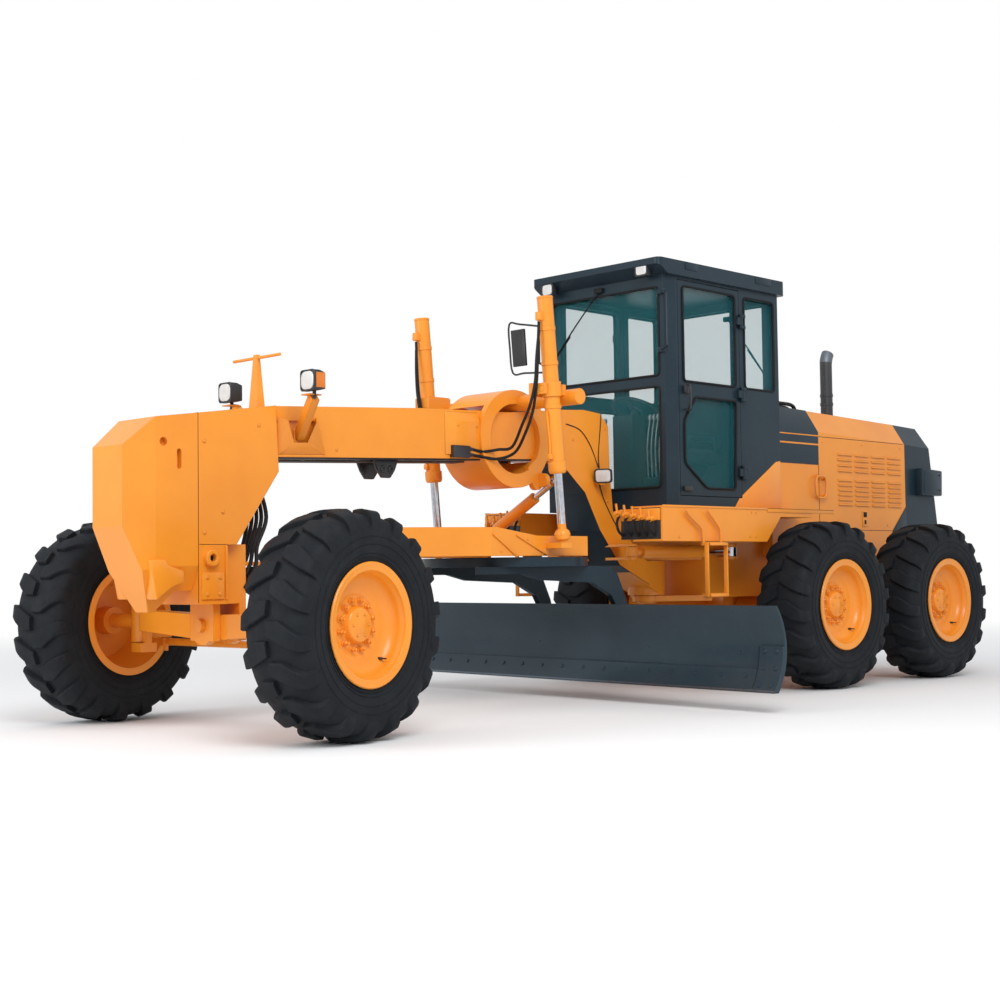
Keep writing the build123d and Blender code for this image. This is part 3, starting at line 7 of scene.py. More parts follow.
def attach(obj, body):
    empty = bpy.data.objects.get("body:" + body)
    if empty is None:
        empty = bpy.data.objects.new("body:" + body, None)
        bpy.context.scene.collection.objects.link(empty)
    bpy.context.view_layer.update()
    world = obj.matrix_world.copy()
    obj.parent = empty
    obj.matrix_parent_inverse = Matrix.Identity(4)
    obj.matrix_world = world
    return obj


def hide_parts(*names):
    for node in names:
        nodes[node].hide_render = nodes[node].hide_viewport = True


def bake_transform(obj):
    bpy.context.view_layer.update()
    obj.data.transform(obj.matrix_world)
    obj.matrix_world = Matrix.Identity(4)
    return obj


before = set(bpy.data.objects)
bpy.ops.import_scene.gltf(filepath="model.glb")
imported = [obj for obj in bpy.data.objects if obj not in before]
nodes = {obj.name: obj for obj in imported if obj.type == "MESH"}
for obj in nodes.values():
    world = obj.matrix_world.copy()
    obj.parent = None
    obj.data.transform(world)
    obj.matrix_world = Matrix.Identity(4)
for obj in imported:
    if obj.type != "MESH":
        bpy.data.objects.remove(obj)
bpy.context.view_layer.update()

# Places shared with the solids, in metres
tandem_x = -2.28
front_axle_x = 3.52
king_y = 0.86
tyre_r = 0.655
rest_steer = radians(10)
blade_turn = radians(-5.4)
circle_x = 1.02


def ahead(length):
    return tandem_x + length


# Materials
def new_material(name):
    mat = bpy.data.materials.new(name)
    mat.use_nodes = True
    tree = mat.node_tree
    shader = tree.nodes["Principled BSDF"]
    return mat, tree, shader


def link(tree, out, to):
    tree.links.new(out, to)


def put(node, **values):
    """Set a node's inputs; an underscore stands for a space in an input's name."""
    for name, value in values.items():
        node.inputs[name.replace("_", " ")].default_value = value
    return node


def add_node(tree, kind, **values):
    return put(tree.nodes.new("ShaderNode" + kind), **values)


def noise(tree, scale, detail=4, rough=0.55):
    tex = add_node(tree, "TexNoise", Scale=scale, Detail=detail, Roughness=rough)
    link(tree, add_node(tree, "NewGeometry").outputs["Position"], tex.inputs["Vector"])
    return tex.outputs["Fac"]


def ramp(tree, value, stops):
    node = add_node(tree, "ValToRGB")
    while len(node.color_ramp.elements) < len(stops):
        node.color_ramp.elements.new(0.5)
    for element, (place, colour) in zip(node.color_ramp.elements, stops):
        element.position = place
        element.color = (*colour, 1)
    link(tree, value, node.inputs["Fac"])
    return node.outputs["Color"]


def mixed(tree, factor, first, second):
    node = add_node(tree, "Mix")
    node.data_type = "RGBA"
    link(tree, factor, node.inputs["Factor"])
    for value, socket in ((first, node.inputs["A"]), (second, node.inputs["B"])):
        if hasattr(value, "is_output"):
            link(tree, value, socket)
        else:
            socket.default_value = (*value, 1)
    return node.outputs["Result"]


def reckon(tree, operation, *values):
    """The result of a sum on outputs or plain numbers."""
    node = add_node(tree, "Math")
    node.operation = operation
    for value, socket in zip(values, node.inputs):
        if hasattr(value, "is_output"):
            link(tree, value, socket)
        else:
            socket.default_value = value
    return node.outputs["Value"]


def roughen(tree, shader, value, low, high):
    node = add_node(tree, "MapRange", To_Min=low, To_Max=high)
    link(tree, value, node.inputs["Value"])
    link(tree, node.outputs["Result"], shader.inputs["Roughness"])


def bump(tree, shader, height, strength, distance, bevel=0.0):
    node = add_node(tree, "Bump", Strength=strength, Distance=distance)
    link(tree, height, node.inputs["Height"])
    if bevel:
        soft = add_node(tree, "Bevel", Radius=bevel)
        soft.samples = 4
        link(tree, soft.outputs["Normal"], node.inputs["Normal"])
    link(tree, node.outputs["Normal"], shader.inputs["Normal"])


grey_dust = (0.16, 0.17, 0.17)


def paint(name, colour, shade, rough=0.32, dust=(0.36, 0.27, 0.18), dust_amount=0.12, shine=0.4, coat=0.2):
    """Gloss paint: two tones in broad patches, specks of dust and a clear coat."""
    mat, tree, shader = new_material(name)
    broad = noise(tree, 2.2, 5)
    base = mixed(tree, ramp(tree, broad, [(0.35, (0, 0, 0)), (0.7, (1, 1, 1))]), colour, shade)
    specks = ramp(tree, noise(tree, 38, 6, 0.7), [(0.56, (0, 0, 0)), (0.8, (1, 1, 1))])
    dusty = mixed(tree, reckon(tree, "MULTIPLY", specks, dust_amount), base, dust)
    link(tree, dusty, shader.inputs["Base Color"])
    roughen(tree, shader, noise(tree, 9, 5), rough - 0.06, rough + 0.12)
    put(shader, Specular_IOR_Level=shine, Coat_Weight=coat, Coat_Roughness=0.12)
    bump(tree, shader, noise(tree, 160, 3), 0.05, 0.001, 0.006)
    return mat


def tone(tree, shader, value, colour, share):
    """The shader's colour, darkened to a share of itself in patches."""
    patches = ramp(tree, value, [(0.3, [v * share for v in colour]), (0.75, colour)])
    link(tree, patches, shader.inputs["Base Color"])


def metal(name, colour, rough, scale=60):
    mat, tree, shader = new_material(name)
    put(shader, Metallic=1)
    tone(tree, shader, noise(tree, scale, 5, 0.6), colour, 0.75)
    roughen(tree, shader, noise(tree, scale / 2, 4), max(0.02, rough - 0.05), rough + 0.1)
    bump(tree, shader, noise(tree, scale * 4, 3), 0.04, 0.001)
    return mat


def rubber(name, colour, dust, amount=0.3, rough=0.62):
    mat, tree, shader = new_material(name)
    patch = ramp(tree, noise(tree, 7, 7, 0.65), [(0.4, (0, 0, 0)), (0.75, (amount, amount, amount))])
    link(tree, mixed(tree, patch, colour, dust), shader.inputs["Base Color"])
    roughen(tree, shader, noise(tree, 25, 5), rough - 0.1, rough + 0.18)
    put(shader, Specular_IOR_Level=0.18)
    bump(tree, shader, noise(tree, 120, 5, 0.6), 0.22, 0.002)
    return mat


def plastic(name, colour, rough=0.5):
    mat, tree, shader = new_material(name)
    tone(tree, shader, noise(tree, 12), colour, 0.8)
    put(shader, Roughness=rough)
    bump(tree, shader, noise(tree, 400, 2), 0.12, 0.0006, 0.003)
    return mat


def window(name, tint, clear):
    mat, tree, shader = new_material(name)
    tone(tree, shader, noise(tree, 3), tint, 0.94)
    put(shader, Roughness=0.03, Alpha=1 - clear)
    bump(tree, shader, noise(tree, 1.5, 0), 0.01, 0.001)
    return mat


orange = paint("orange_paint", (0.86, 0.30, 0.022), (0.80, 0.26, 0.018))
slate = paint("slate_paint", (0.016, 0.031, 0.043), (0.012, 0.025, 0.036), 0.3, grey_dust, 0.1, 0.2, 0.08)
blade_paint = paint("blade_paint", (0.022, 0.043, 0.057), (0.017, 0.034, 0.047), 0.28, grey_dust, 0.1, 0.25,
                    0.1)
# Black paint for black parts; also the black plate of painted shade over the side boxes' front faces
black_paint_and_painted_shade = paint("black_paint_and_painted_shade", (0.012, 0.013, 0.015), (0.02, 0.02, 0.02), 0.4)
tyre_rubber = rubber("tyre_rubber", (0.008, 0.010, 0.013), (0.03, 0.033, 0.035))
hose_rubber = rubber("hose_rubber", (0.012, 0.012, 0.014), (0.05, 0.045, 0.04), 0.2, 0.5)
# Dark rubber for seals and seams; also the black discs of painted shade in the boss bores and in the stack's
# mouth
seal_rubber_and_painted_shade = rubber("seal_rubber_and_painted_shade", (0.01, 0.011, 0.012), (0.03, 0.03, 0.03), 0.1, 0.55)
chrome = metal("rod_chrome", (0.78, 0.8, 0.84), 0.1, 40)
dark_steel = metal("dark_steel", (0.1, 0.1, 0.11), 0.45)
bolt_steel = metal("bolt_steel", (0.45, 0.45, 0.46), 0.35)
worn_edge = metal("worn_edge", (0.16, 0.19, 0.22), 0.4, 30)
stack_black = paint("stack_black", (0.03, 0.034, 0.04), (0.05, 0.05, 0.052), 0.45)
stack_tip = metal("stack_tip", (0.22, 0.24, 0.27), 0.5, 30)
dark_plastic = plastic("dark_plastic", (0.025, 0.028, 0.032))
seat_cloth = plastic("seat_cloth", (0.02, 0.02, 0.022), 0.9)
lamp_lens = plastic("lamp_lens", (0.72, 0.72, 0.7), 0.12)
amber_lens = plastic("amber_lens", (0.75, 0.2, 0.02), 0.15)
mirror_glass = metal("mirror_glass", (0.85, 0.87, 0.88), 0.05)
glass = window("cab_window", (0.02, 0.22, 0.25), 0.84)

node_material = {
    orange: ("tandem_axle rear_frame hood side_boxes front_frame nose_weight front_axle knuckle_left "
             "knuckle_right tie_rod saddle lift_barrel_left lift_barrel_right drawbar artic_barrel_left "
             "artic_barrel_right shift_barrel"),
    slate: "tail_guard cab_shell door_left door_right circle blade_carrier",
    blade_paint: "blade",
    dark_steel: "engine_block hitch_swivel",
    stack_black: "exhaust",
    dark_plastic: "console",
    glass: "cab_glass door_glass_left door_glass_right",
    chrome: "lift_rod_left lift_rod_right artic_rod_left artic_rod_right shift_rod",
}
for mat, names in node_material.items():
    for name in names.split():
        nodes[name].data.materials.clear()
        nodes[name].data.materials.append(mat)

# Mesh helpers
def at(*points):
    """Points given as distance ahead of the tandem's centre, distance to the left, and height."""
    return [Vector((ahead(x), y, z)) for x, y, z in points]


def side_line(y, pairs):
    """Points on a lengthwise plane, given as (ahead, height) pairs."""
    return at(*[(x, y, z) for x, z in pairs])


def smooth_by_angle(mesh, angle):
    work = bmesh.new()
    work.from_mesh(mesh)
    bmesh.ops.remove_doubles(work, verts=work.verts, dist=1e-6)
    bmesh.ops.recalc_face_normals(work, faces=work.faces)
    for face in work.faces:
        face.smooth = True
    for edge in work.edges:
        if len(edge.link_faces) == 2 and edge.calc_face_angle(0) > angle:
            edge.smooth = False
    work.to_mesh(mesh)
    work.free()


def frame_on(origin, along, hint=(0, 0, 1)):
    """A matrix at a point with its Z along a direction."""
    z = Vector(along).normalized()
    hint = Vector(hint)
    if abs(z.dot(hint.normalized())) > 0.95:
        hint = Vector((1, 0, 0))
    x = hint.cross(z).normalized()
    y = z.cross(x)
    return Matrix.Translation(Vector(origin)) @ Matrix((x, y, z)).transposed().to_4x4()


def polar(radius, angle, along):
    """A point round a frame's Z."""
    return Vector((radius * cos(angle), radius * sin(angle), along))


class Form:
    """Closed shapes gathered into one mesh, which becomes a piece that rides on a body."""

    def __init__(self):
        self.verts = []
        self.faces = []

    def add(self, verts, faces):
        base = len(self.verts)
        self.verts.extend(Vector(v) for v in verts)
        self.faces.extend(tuple(base + v for v in face) for face in faces)
        return self

    def add_bevelled(self, verts, faces, bevel):
        if not bevel:
            return self.add(verts, faces)
        work = bmesh.new()
        made = [work.verts.new(Vector(v)) for v in verts]
        for face in faces:
            work.faces.new([made[v] for v in face])
        bmesh.ops.recalc_face_normals(work, faces=work.faces)
        bmesh.ops.bevel(work, geom=work.edges[:], offset=bevel, segments=2, affect="EDGES", profile=0.5,
                        clamp_overlap=True)
        work.verts.index_update()
        self.add([v.co.copy() for v in work.verts], [[v.index for v in face.verts] for face in work.faces])
        work.free()
        return self

    def loft(self, sections, bevel=0.0):
        """Sections with the same count of points, joined in turn and closed at both ends."""
        count = len(sections[0])
        verts = [p for section in sections for p in section]
        faces = [tuple(reversed(range(count))), tuple((len(sections) - 1) * count + k for k in range(count))]
        for low in range(0, (len(sections) - 1) * count, count):
            high = low + count
            for k in range(count):
                nxt = (k + 1) % count
                faces.append((low + k, low + nxt, high + nxt, high + k))
        return self.add_bevelled(verts, faces, bevel)

    def prism(self, base, reach, bevel=0.0):
        reach = Vector(reach)
        return self.loft([[Vector(p) for p in base], [Vector(p) + reach for p in base]], bevel)

    def box(self, low, high, bevel):
        (x0, y0, z0), (x1, y1, z1) = low, high
        return self.prism([(x0, y0, z0), (x1, y0, z0), (x1, y1, z0), (x0, y1, z0)], (0, 0, z1 - z0), bevel)

    def block(self, lengths, widths, heights, bevel=0.004):
        """A box between distances ahead, distances to the left in either order, and heights."""
        y0, y1 = sorted(widths)
        return self.box((ahead(lengths[0]), y0, heights[0]), (ahead(lengths[1]), y1, heights[1]), bevel)

    def side(self, points, y0, y1, bevel):
        """An outline of (ahead, height) pairs between two distances from the middle plane."""
        return self.prism(side_line(y0, points), (0, y1 - y0, 0), bevel)

    def turn(self, profile, place, steps, closed=False):
        """A revolved profile of (along the axle, radius) pairs; place holds the axle on its Z."""
        verts = []
        faces = []
        count = len(profile)
        for step in range(steps):
            angle = 2 * pi * step / steps
            for along, radius in profile:
                verts.append(place @ polar(radius, angle, along))
        for step in range(steps):
            here, after = step * count, (step + 1) % steps * count
            for k in range(count if closed else count - 1):
                nxt = (k + 1) % count
                faces.append((here + k, after + k, after + nxt, here + nxt))
        return self.add(verts, faces)

    def tube(self, points, radius, sides, rounds=0, loop=False):
        """A round bar along points; rounds is the number of extra points that smooth each run."""
        pts = [Vector(p) for p in points]
        if rounds:
            smooth = []
            count = len(pts)
            spans = count if loop else count - 1
            for k in range(spans):
                p1, p2 = pts[k], pts[(k + 1) % count]
                p0 = pts[(k - 1) % count] if loop or k else p1
                p3 = pts[(k + 2) % count] if loop or k + 2 < count else p2
                for step in range(rounds):
                    t = step / rounds
                    smooth.append(0.5 * (2 * p1 + (p2 - p0) * t + (2 * p0 - 5 * p1 + 4 * p2 - p3) * t * t
                                         + (3 * p1 - p0 - 3 * p2 + p3) * t ** 3))
            if not loop:
                smooth.append(pts[-1])
            pts = smooth
        count = len(pts)
        frame_x = None
        verts = []
        for k, point in enumerate(pts):
            before = pts[k - 1] if loop or k else pts[0]
            after = pts[(k + 1) % count] if loop or k + 1 < count else pts[-1]
            along = (after - before).normalized()
            if frame_x is None:
                frame_x = along.orthogonal().normalized()
            frame_x = (frame_x - along * frame_x.dot(along)).normalized()
            frame_y = along.cross(frame_x)
            for j in range(sides):
                angle = 2 * pi * j / sides
                verts.append(point + (frame_x * cos(angle) + frame_y * sin(angle)) * radius)
        faces = []
        for k in range(count if loop else count - 1):
            a, b = k * sides, (k + 1) % count * sides
            for j in range(sides):
                nxt = (j + 1) % sides
                faces.append((a + j, a + nxt, b + nxt, b + j))
        if not loop:
            faces.append(tuple(reversed(range(sides))))
            faces.append(tuple((count - 1) * sides + j for j in range(sides)))
        return self.add(verts, faces)

    def bolt(self, spot, along, radius, high):
        """A hexagon head on a round washer."""
        place = frame_on(spot, along)
        wide, top = radius * 1.35, radius * 0.85
        self.turn([(-0.001, 0), (-0.001, wide), (0.002, wide), (0.002, 0)], place, 14)
        self.turn([(0.001, radius), (high - 0.0015, radius), (high, top), (high, 0)], place, 6)
        return self

    def bolts(self, spots, along, radius, high):
        for spot in spots:
            self.bolt(spot, along, radius, high)
        return self

    def side_bolts(self, sign, out, pairs, size):
        """Bolts on a face to the left or right, at (ahead, height) pairs."""
        return self.bolts(side_line(sign * out, pairs), (0, sign, 0), *size)

    def make(self, name, mat, body="rear_frame", angle=35):
        """The mesh as a piece on a body; edges sharper than the angle stay hard."""
        mesh = bpy.data.meshes.new(name)
        mesh.from_pydata([tuple(v) for v in self.verts], [], self.faces)
        mesh.update()
        mesh.materials.append(mat)
        obj = bpy.data.objects.new(name, mesh)
        bpy.context.scene.collection.objects.link(obj)
        smooth_by_angle(mesh, radians(angle))
        if body:
            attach(obj, body)
        return obj


def rounded(width, high, radius, steps=4):
    """Points round a rectangle with rounded corners, centred on the origin."""
    points = []
    for cx, cy, first in ((1, 1, 0), (-1, 1, 90), (-1, -1, 180), (1, -1, 270)):
        for step in range(steps + 1):
            angle = radians(first + 90 * step / steps)
            points.append((cx * (width / 2 - radius) + radius * cos(angle),
                           cy * (high / 2 - radius) + radius * sin(angle)))
    return points


# Bolt heads: radius and height
bolt_s = (0.007, 0.005)
bolt_m = (0.008, 0.006)
bolt_l = (0.010, 0.008)


# Wheels: the matrix holds the heading on X and the outward axle on Z, as the solids do
rear_wheel_y = 1.065
front_wheel_out = 0.29
wheel_table = []
for end, x in (("mid", 0.8), ("rear", -0.8)):
    for side, sign in (("left", 1), ("right", -1)):
        centre = Vector((ahead(x), sign * rear_wheel_y, tyre_r))
        wheel_table.append((f"{end}_{side}", centre, Vector((0, sign, 0)), Vector((1, 0, 0))))
heading = Vector((cos(rest_steer), sin(rest_steer), 0))
for side, sign in (("left", 1), ("right", -1)):
    outward = Vector((-sin(rest_steer), cos(rest_steer), 0)) * sign
    centre = Vector((front_axle_x, sign * king_y, tyre_r)) + outward * front_wheel_out
    wheel_table.append((f"front_{side}", centre, outward, heading))

tread_crown = [(0.0, 0.628), (0.06, 0.627), (0.12, 0.621), (0.165, 0.610), (0.192, 0.593), (0.205, 0.57),
               (0.2155, 0.53), (0.219, 0.48), (0.214, 0.43), (0.204, 0.392), (0.196, 0.372), (0.1885, 0.357),
               (0.1883, 0.3186)]
tyre_steps = 96
lug_count = 18
lug_slim, lug_round = 0.007, 0.006
# Rows of a lug from the middle outwards: across, rear edge, front edge, top radius, foot radius
lug_rows = [(0.005, -0.042, 0.042, 0.6545, 0.618), (0.045, -0.042, 0.062, 0.6545, 0.618),
            (0.084, -0.042, 0.081, 0.6540, 0.615), (0.108, -0.026, 0.092, 0.6525, 0.610),
            (0.150, 0.002, 0.112, 0.6460, 0.600), (0.178, 0.021, 0.120, 0.6370, 0.588),
            (0.202, 0.037, 0.127, 0.6250, 0.570), (0.2165, 0.046, 0.131, 0.603, 0.548),
            (0.2215, 0.051, 0.132, 0.574, 0.538), (0.2205, 0.058, 0.128, 0.553, 0.530)]
wall_rings = ((0.372, 0.380, 0.004), (0.395, 0.400, 0.003), (0.448, 0.452, 0.0025), (0.492, 0.498, 0.003))


def wall_at(radius):
    for (a0, r0), (a1, r1) in zip(tread_crown, tread_crown[1:]):
        if r1 <= radius <= r0:
            return a1 + (a0 - a1) * (radius - r1) / (r0 - r1)
    return tread_crown[-1][0]


def tyre_form(place):
    """Carcass, lugs and sidewall rings of one tyre."""
    form = Form()
    form.turn([(-a, r) for a, r in reversed(tread_crown[1:])] + tread_crown, place, tyre_steps, True)
    for wall in (1, -1):
        for k in range(lug_count):
            start = 2 * pi * (k if wall > 0 else k + 0.5) / lug_count
            verts = []
            for across, rear, front, top, foot in lug_rows:
                slim, side_r = lug_slim, top - lug_round
                for edge, radius, pull in ((rear - slim, foot, 0), (rear, side_r, 1), (rear + slim, top, 1),
                                           (front - slim, top, 1), (front, side_r, 1),
                                           (front + slim, foot, 0)):
                    reach = across if pull else min(across, wall_at(max(radius, 0.4)) + 0.001)
                    angle = start + edge / tyre_r
                    verts.append(place @ polar(radius, angle, wall * reach))
            rows = len(lug_rows)
            faces = [(i * 6 + j, i * 6 + j + 1, i * 6 + j + 7, i * 6 + j + 6)
                     for i in range(rows - 1) for j in range(5)]
            faces += [(i * 6 + 5, i * 6, i * 6 + 6, i * 6 + 11) for i in range(rows - 1)]
            faces.append(tuple(range(6)))
            faces.append(tuple((rows - 1) * 6 + j for j in reversed(range(6))))
            form.add(verts, faces)
        for low, high, out in wall_rings:
            inner, outer = wall_at(low), wall_at(high)
            form.turn([(wall * (inner - 0.002), low), (wall * (inner + out), low + 0.002),
                       (wall * (outer + out), high - 0.002), (wall * (outer - 0.002), high)],
                      place, tyre_steps, True)
    return form


rim_profile = [(0.126, 0.0), (0.124, 0.040), (0.120, 0.046), (0.120, 0.088), (0.116, 0.096), (0.106, 0.102),
               (0.082, 0.107), (0.0755, 0.113), (0.0752, 0.168), (0.080, 0.174), (0.084, 0.200),
               (0.0835, 0.228), (0.088, 0.242), (0.104, 0.262), (0.120, 0.281), (0.150, 0.289),
               (0.168, 0.292), (0.176, 0.299), (0.196, 0.304), (0.1995, 0.312), (0.200, 0.322),
               (0.203, 0.334), (0.2065, 0.341), (0.2065, 0.349), (0.200, 0.3545), (0.193, 0.3535),
               (0.189, 0.345), (0.188, 0.3182), (-0.188, 0.3182), (-0.188, 0.345), (-0.193, 0.3535),
               (-0.200, 0.3545), (-0.2005, 0.307), (-0.170, 0.305), (0.054, 0.236), (0.054, 0.091),
               (-0.040, 0.090), (-0.040, 0.0457), (0.0748, 0.0457), (0.0749, 0.0)]
stem_profile = [(-0.02, 0.008), (0.02, 0.008), (0.022, 0.0045), (0.052, 0.0045), (0.054, 0.0)]
# Radius of a ring of fastenings, and how far out it stands
nut_ring, nut_out = 0.140, 0.0752
cap_ring, cap_out = 0.066, 0.1195
valve_ring, valve_out, valve_angle = 0.262, 0.104, 2.3
for name, centre, outward, forward_way in wheel_table:
    body = "wheel_" + name
    turn = Matrix((forward_way, outward.cross(forward_way), outward)).transposed()
    place = Matrix.Translation(centre) @ turn.to_4x4()
    tyre = tyre_form(place).make("tread_" + name, tyre_rubber, body, 32)
    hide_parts("tyre_" + name)
    rim = Form().turn(rim_profile, place, 80).make("dish_" + name, orange, body)
    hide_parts("rim_" + name)
    nuts = Form()
    for k in range(12):
        angle = 2 * pi * (k + 0.5) / 12
        spot = place @ Matrix.Translation(polar(nut_ring, angle, nut_out))
        nuts.turn([(-0.001, 0.0), (-0.001, 0.020), (0.005, 0.020), (0.005, 0.0)], spot, 18)
        nuts.turn([(0.004, 0.0145), (0.024, 0.0145), (0.027, 0.012), (0.027, 0.0)], spot, 6)
        nuts.turn([(0.026, 0.0085), (0.038, 0.0085), (0.040, 0.006), (0.040, 0.0)], spot, 12)
    for k in range(6):
        angle = 2 * pi * k / 6
        nuts.bolt(place @ polar(cap_ring, angle, cap_out), outward, 0.007, 0.006)
    nuts.make("nuts_" + name, orange, body, 30)
    valve = Form()
    spot = place @ Matrix.Translation(polar(valve_ring, valve_angle, valve_out))
    valve.turn(stem_profile, spot, 12)
    valve.make("valve_" + name, dark_steel, body, 30)

# Front frame: dark front face of the gooseneck, strip and lugs under the beam, cover, lamps and lines
beam_half = 0.16
neck_line = [(2.862, 1.745), (2.596, 1.529), (2.432, 1.250), (2.206, 0.984), (1.86, 0.833)]
band = Form()
for (x0, z0), (x1, z1) in zip(neck_line, neck_line[1:]):
    first, last = at((x0, 0, z0), (x1, 0, z1))
    run = (last - first).normalized()
    off = Vector((-run.z, 0, run.x)) * 0.004
    edge = Vector((0, beam_half + 0.001, 0))
    band.prism([first - edge, first + edge, first + off + edge, first + off - edge], last - first)
band.make("neck_band", slate, "front_frame")

strip = Form()
strip_t = 0.012
under = [(5.455, 1.674), (4.2, 1.719), (3.16, 1.756)]
for ends in zip(under, under[1:]):
    for y0, y1 in ((-0.155, -0.09), (0.09, 0.155)):
        strip.loft([at((x, y0, z), (x, y1, z), (x, y1, z - strip_t), (x, y0, z - strip_t)) for x, z in ends])
for y in (-0.05, -0.02, 0.02, 0.05):
    strip.tube(at((5.46, y, 1.66), (4.2, y, 1.705), (3.75, y, 1.722)), 0.01, 8)
for x, z in ((5.2, 1.668), (4.75, 1.684), (4.05, 1.709)):
    strip.block((x - 0.02, x + 0.02), (-0.08, 0.08), (z, z + strip_t), 0.003)
strip.make("beam_strip", black_paint_and_painted_shade, "front_frame")

lug = Form()
lug_outline = [(4.40, 1.714), (4.62, 1.705), (4.585, 1.63), (4.545, 1.578), (4.475, 1.578), (4.435, 1.63)]
bush = [(-0.004, 0.012), (0.006, 0.012), (0.009, 0.015), (0.009, 0.022), (0.006, 0.025), (-0.004, 0.025)]
for sign in (1, -1):
    lug.side(lug_outline, *sorted((sign * 0.07, sign * 0.10)), 0.006)
    for x in (4.475, 4.545):
        lug.turn(bush, frame_on((ahead(x), sign * 0.10, 1.635), (0, sign, 0)), 20, True)
lug.make("beam_lug", black_paint_and_painted_shade, "front_frame")

cover = Form()
cover_out = beam_half + 0.028
low_face = [(4.035, 1.752), (4.035, 2.052), (3.715, 2.062), (3.715, 1.756)]
high_face = [(3.95, 1.758), (3.95, 1.985), (3.722, 1.992), (3.722, 1.760)]
for sign in (1, -1):
    cover.loft([side_line(sign * beam_half, low_face), side_line(sign * cover_out, high_face)], 0.004)
    cover.side_bolts(sign, cover_out, [(x, z) for x in (3.93, 3.75) for z in (1.785, 1.96)], bolt_m)
cover.make("beam_cover", orange, "front_frame")

gusset = Form()
for sign in (1, -1):
    root = sign * beam_half
    tip = sign * (beam_half + 0.075)
    low = tip * 0.86
    gusset.loft([side_line(root, [(5.462, 1.925), (5.450, 1.925), (5.455, 1.684), (5.467, 1.684)]),
                 at((5.445, tip, 1.90), (5.433, tip, 1.90), (5.36, low, 1.76), (5.372, low, 1.76))])
    gusset.loft([side_line(root, [(5.145, 1.935), (5.157, 1.935), (5.092, 1.700), (5.080, 1.700)]),
                 at((5.20, tip, 1.90), (5.212, tip, 1.90), (5.262, low, 1.765), (5.25, low, 1.765))])
    gusset.loft([side_line(root, [(5.46, 1.690), (5.085, 1.703), (5.085, 1.712), (5.46, 1.699)]),
                 side_line(low, [(5.372, 1.757), (5.25, 1.762), (5.25, 1.771), (5.372, 1.766)])])
    gusset.bolts(at((4.99, root, 1.74), (5.43, root, 1.70), (5.33, sign * 0.2, 1.84)), (0, sign, 0), *bolt_m)
gusset.make("lamp_gussets", orange, "front_frame")

arms = Form()
for sign in (1, -1):
    foot, top = at((5.30, sign * 0.165, 1.80), (5.375, sign * 0.418, 2.035))
    across = Vector((0.030, 0, 0.0))
    lift = Vector((0, -sign * 0.02, 0.022))
    arms.loft([[end - across - lift, end + across - lift, end + across + lift, end - across + lift]
               for end in (foot, top)], 0.005)
    arms.block((5.345, 5.445), (sign * 0.375, sign * 0.455), (2.040, 2.048), 0.002)
    arms.block((5.26, 5.34), (sign * 0.1605, sign * 0.172), (1.745, 1.855), 0.004)
    arms.side_bolts(sign, 0.172, [(x, z) for x in (5.275, 5.325) for z in (1.762, 1.838)], bolt_m)
arms.make("lamp_arms", orange, "front_frame")
housing = Form()
lens = Form()
amber = Form()
lamp_low, lamp_high, lamp_mid = 2.064, 2.190, 2.127
for sign, y_in, y_out in ((1, 0.378, 0.512), (-1, 0.345, 0.479)):
    y0, y1 = sorted((sign * y_in, sign * y_out))
    sections = []
    for x, trim_y, trim_z in ((5.348, 0.014, 0.012), (5.40, 0, 0), (5.448, 0, 0)):
        sections.append(at((x, y0 + trim_y, lamp_low + trim_z), (x, y1 - trim_y, lamp_low + trim_z),
                           (x, y1 - trim_y, lamp_high - trim_z), (x, y0 + trim_y, lamp_high - trim_z)))
    housing.loft(sections, 0.006)
    face = Matrix.Translation((ahead(5.448), (y0 + y1) / 2, lamp_mid))
    housing.tube([face @ Vector((0, y, z)) for y, z in rounded(0.132, 0.124, 0.018)], 0.0045, 8, 0, True)
    lens.loft([[face @ Vector((depth, y, z)) for y, z in rounded(size + 0.008, size, 0.35 * size)]
               for depth, size in ((0.0, 0.112), (0.004, 0.110), (0.006, 0.09), (0.0065, 0.04))])
    pane = [(5.366, lamp_low + 0.016), (5.436, lamp_low + 0.016), (5.436, lamp_high - 0.016),
            (5.366, lamp_high - 0.016)]
    amber.prism(side_line(sign * (y_out - 0.002), pane), (0, sign * 0.008, 0), 0.003)
    stalk = Matrix.Translation((ahead(5.395), (y0 + y1) / 2, 2.05))
    housing.turn([(-0.03, 0.012), (0.03, 0.012)], stalk, 14)
housing_piece = housing.make("lamp_housings", dark_plastic, "front_frame")
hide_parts("head_lamps")
lens.make("lamp_lenses", lamp_lens, "front_frame")
amber.make("lamp_indicators", amber_lens, "front_frame")

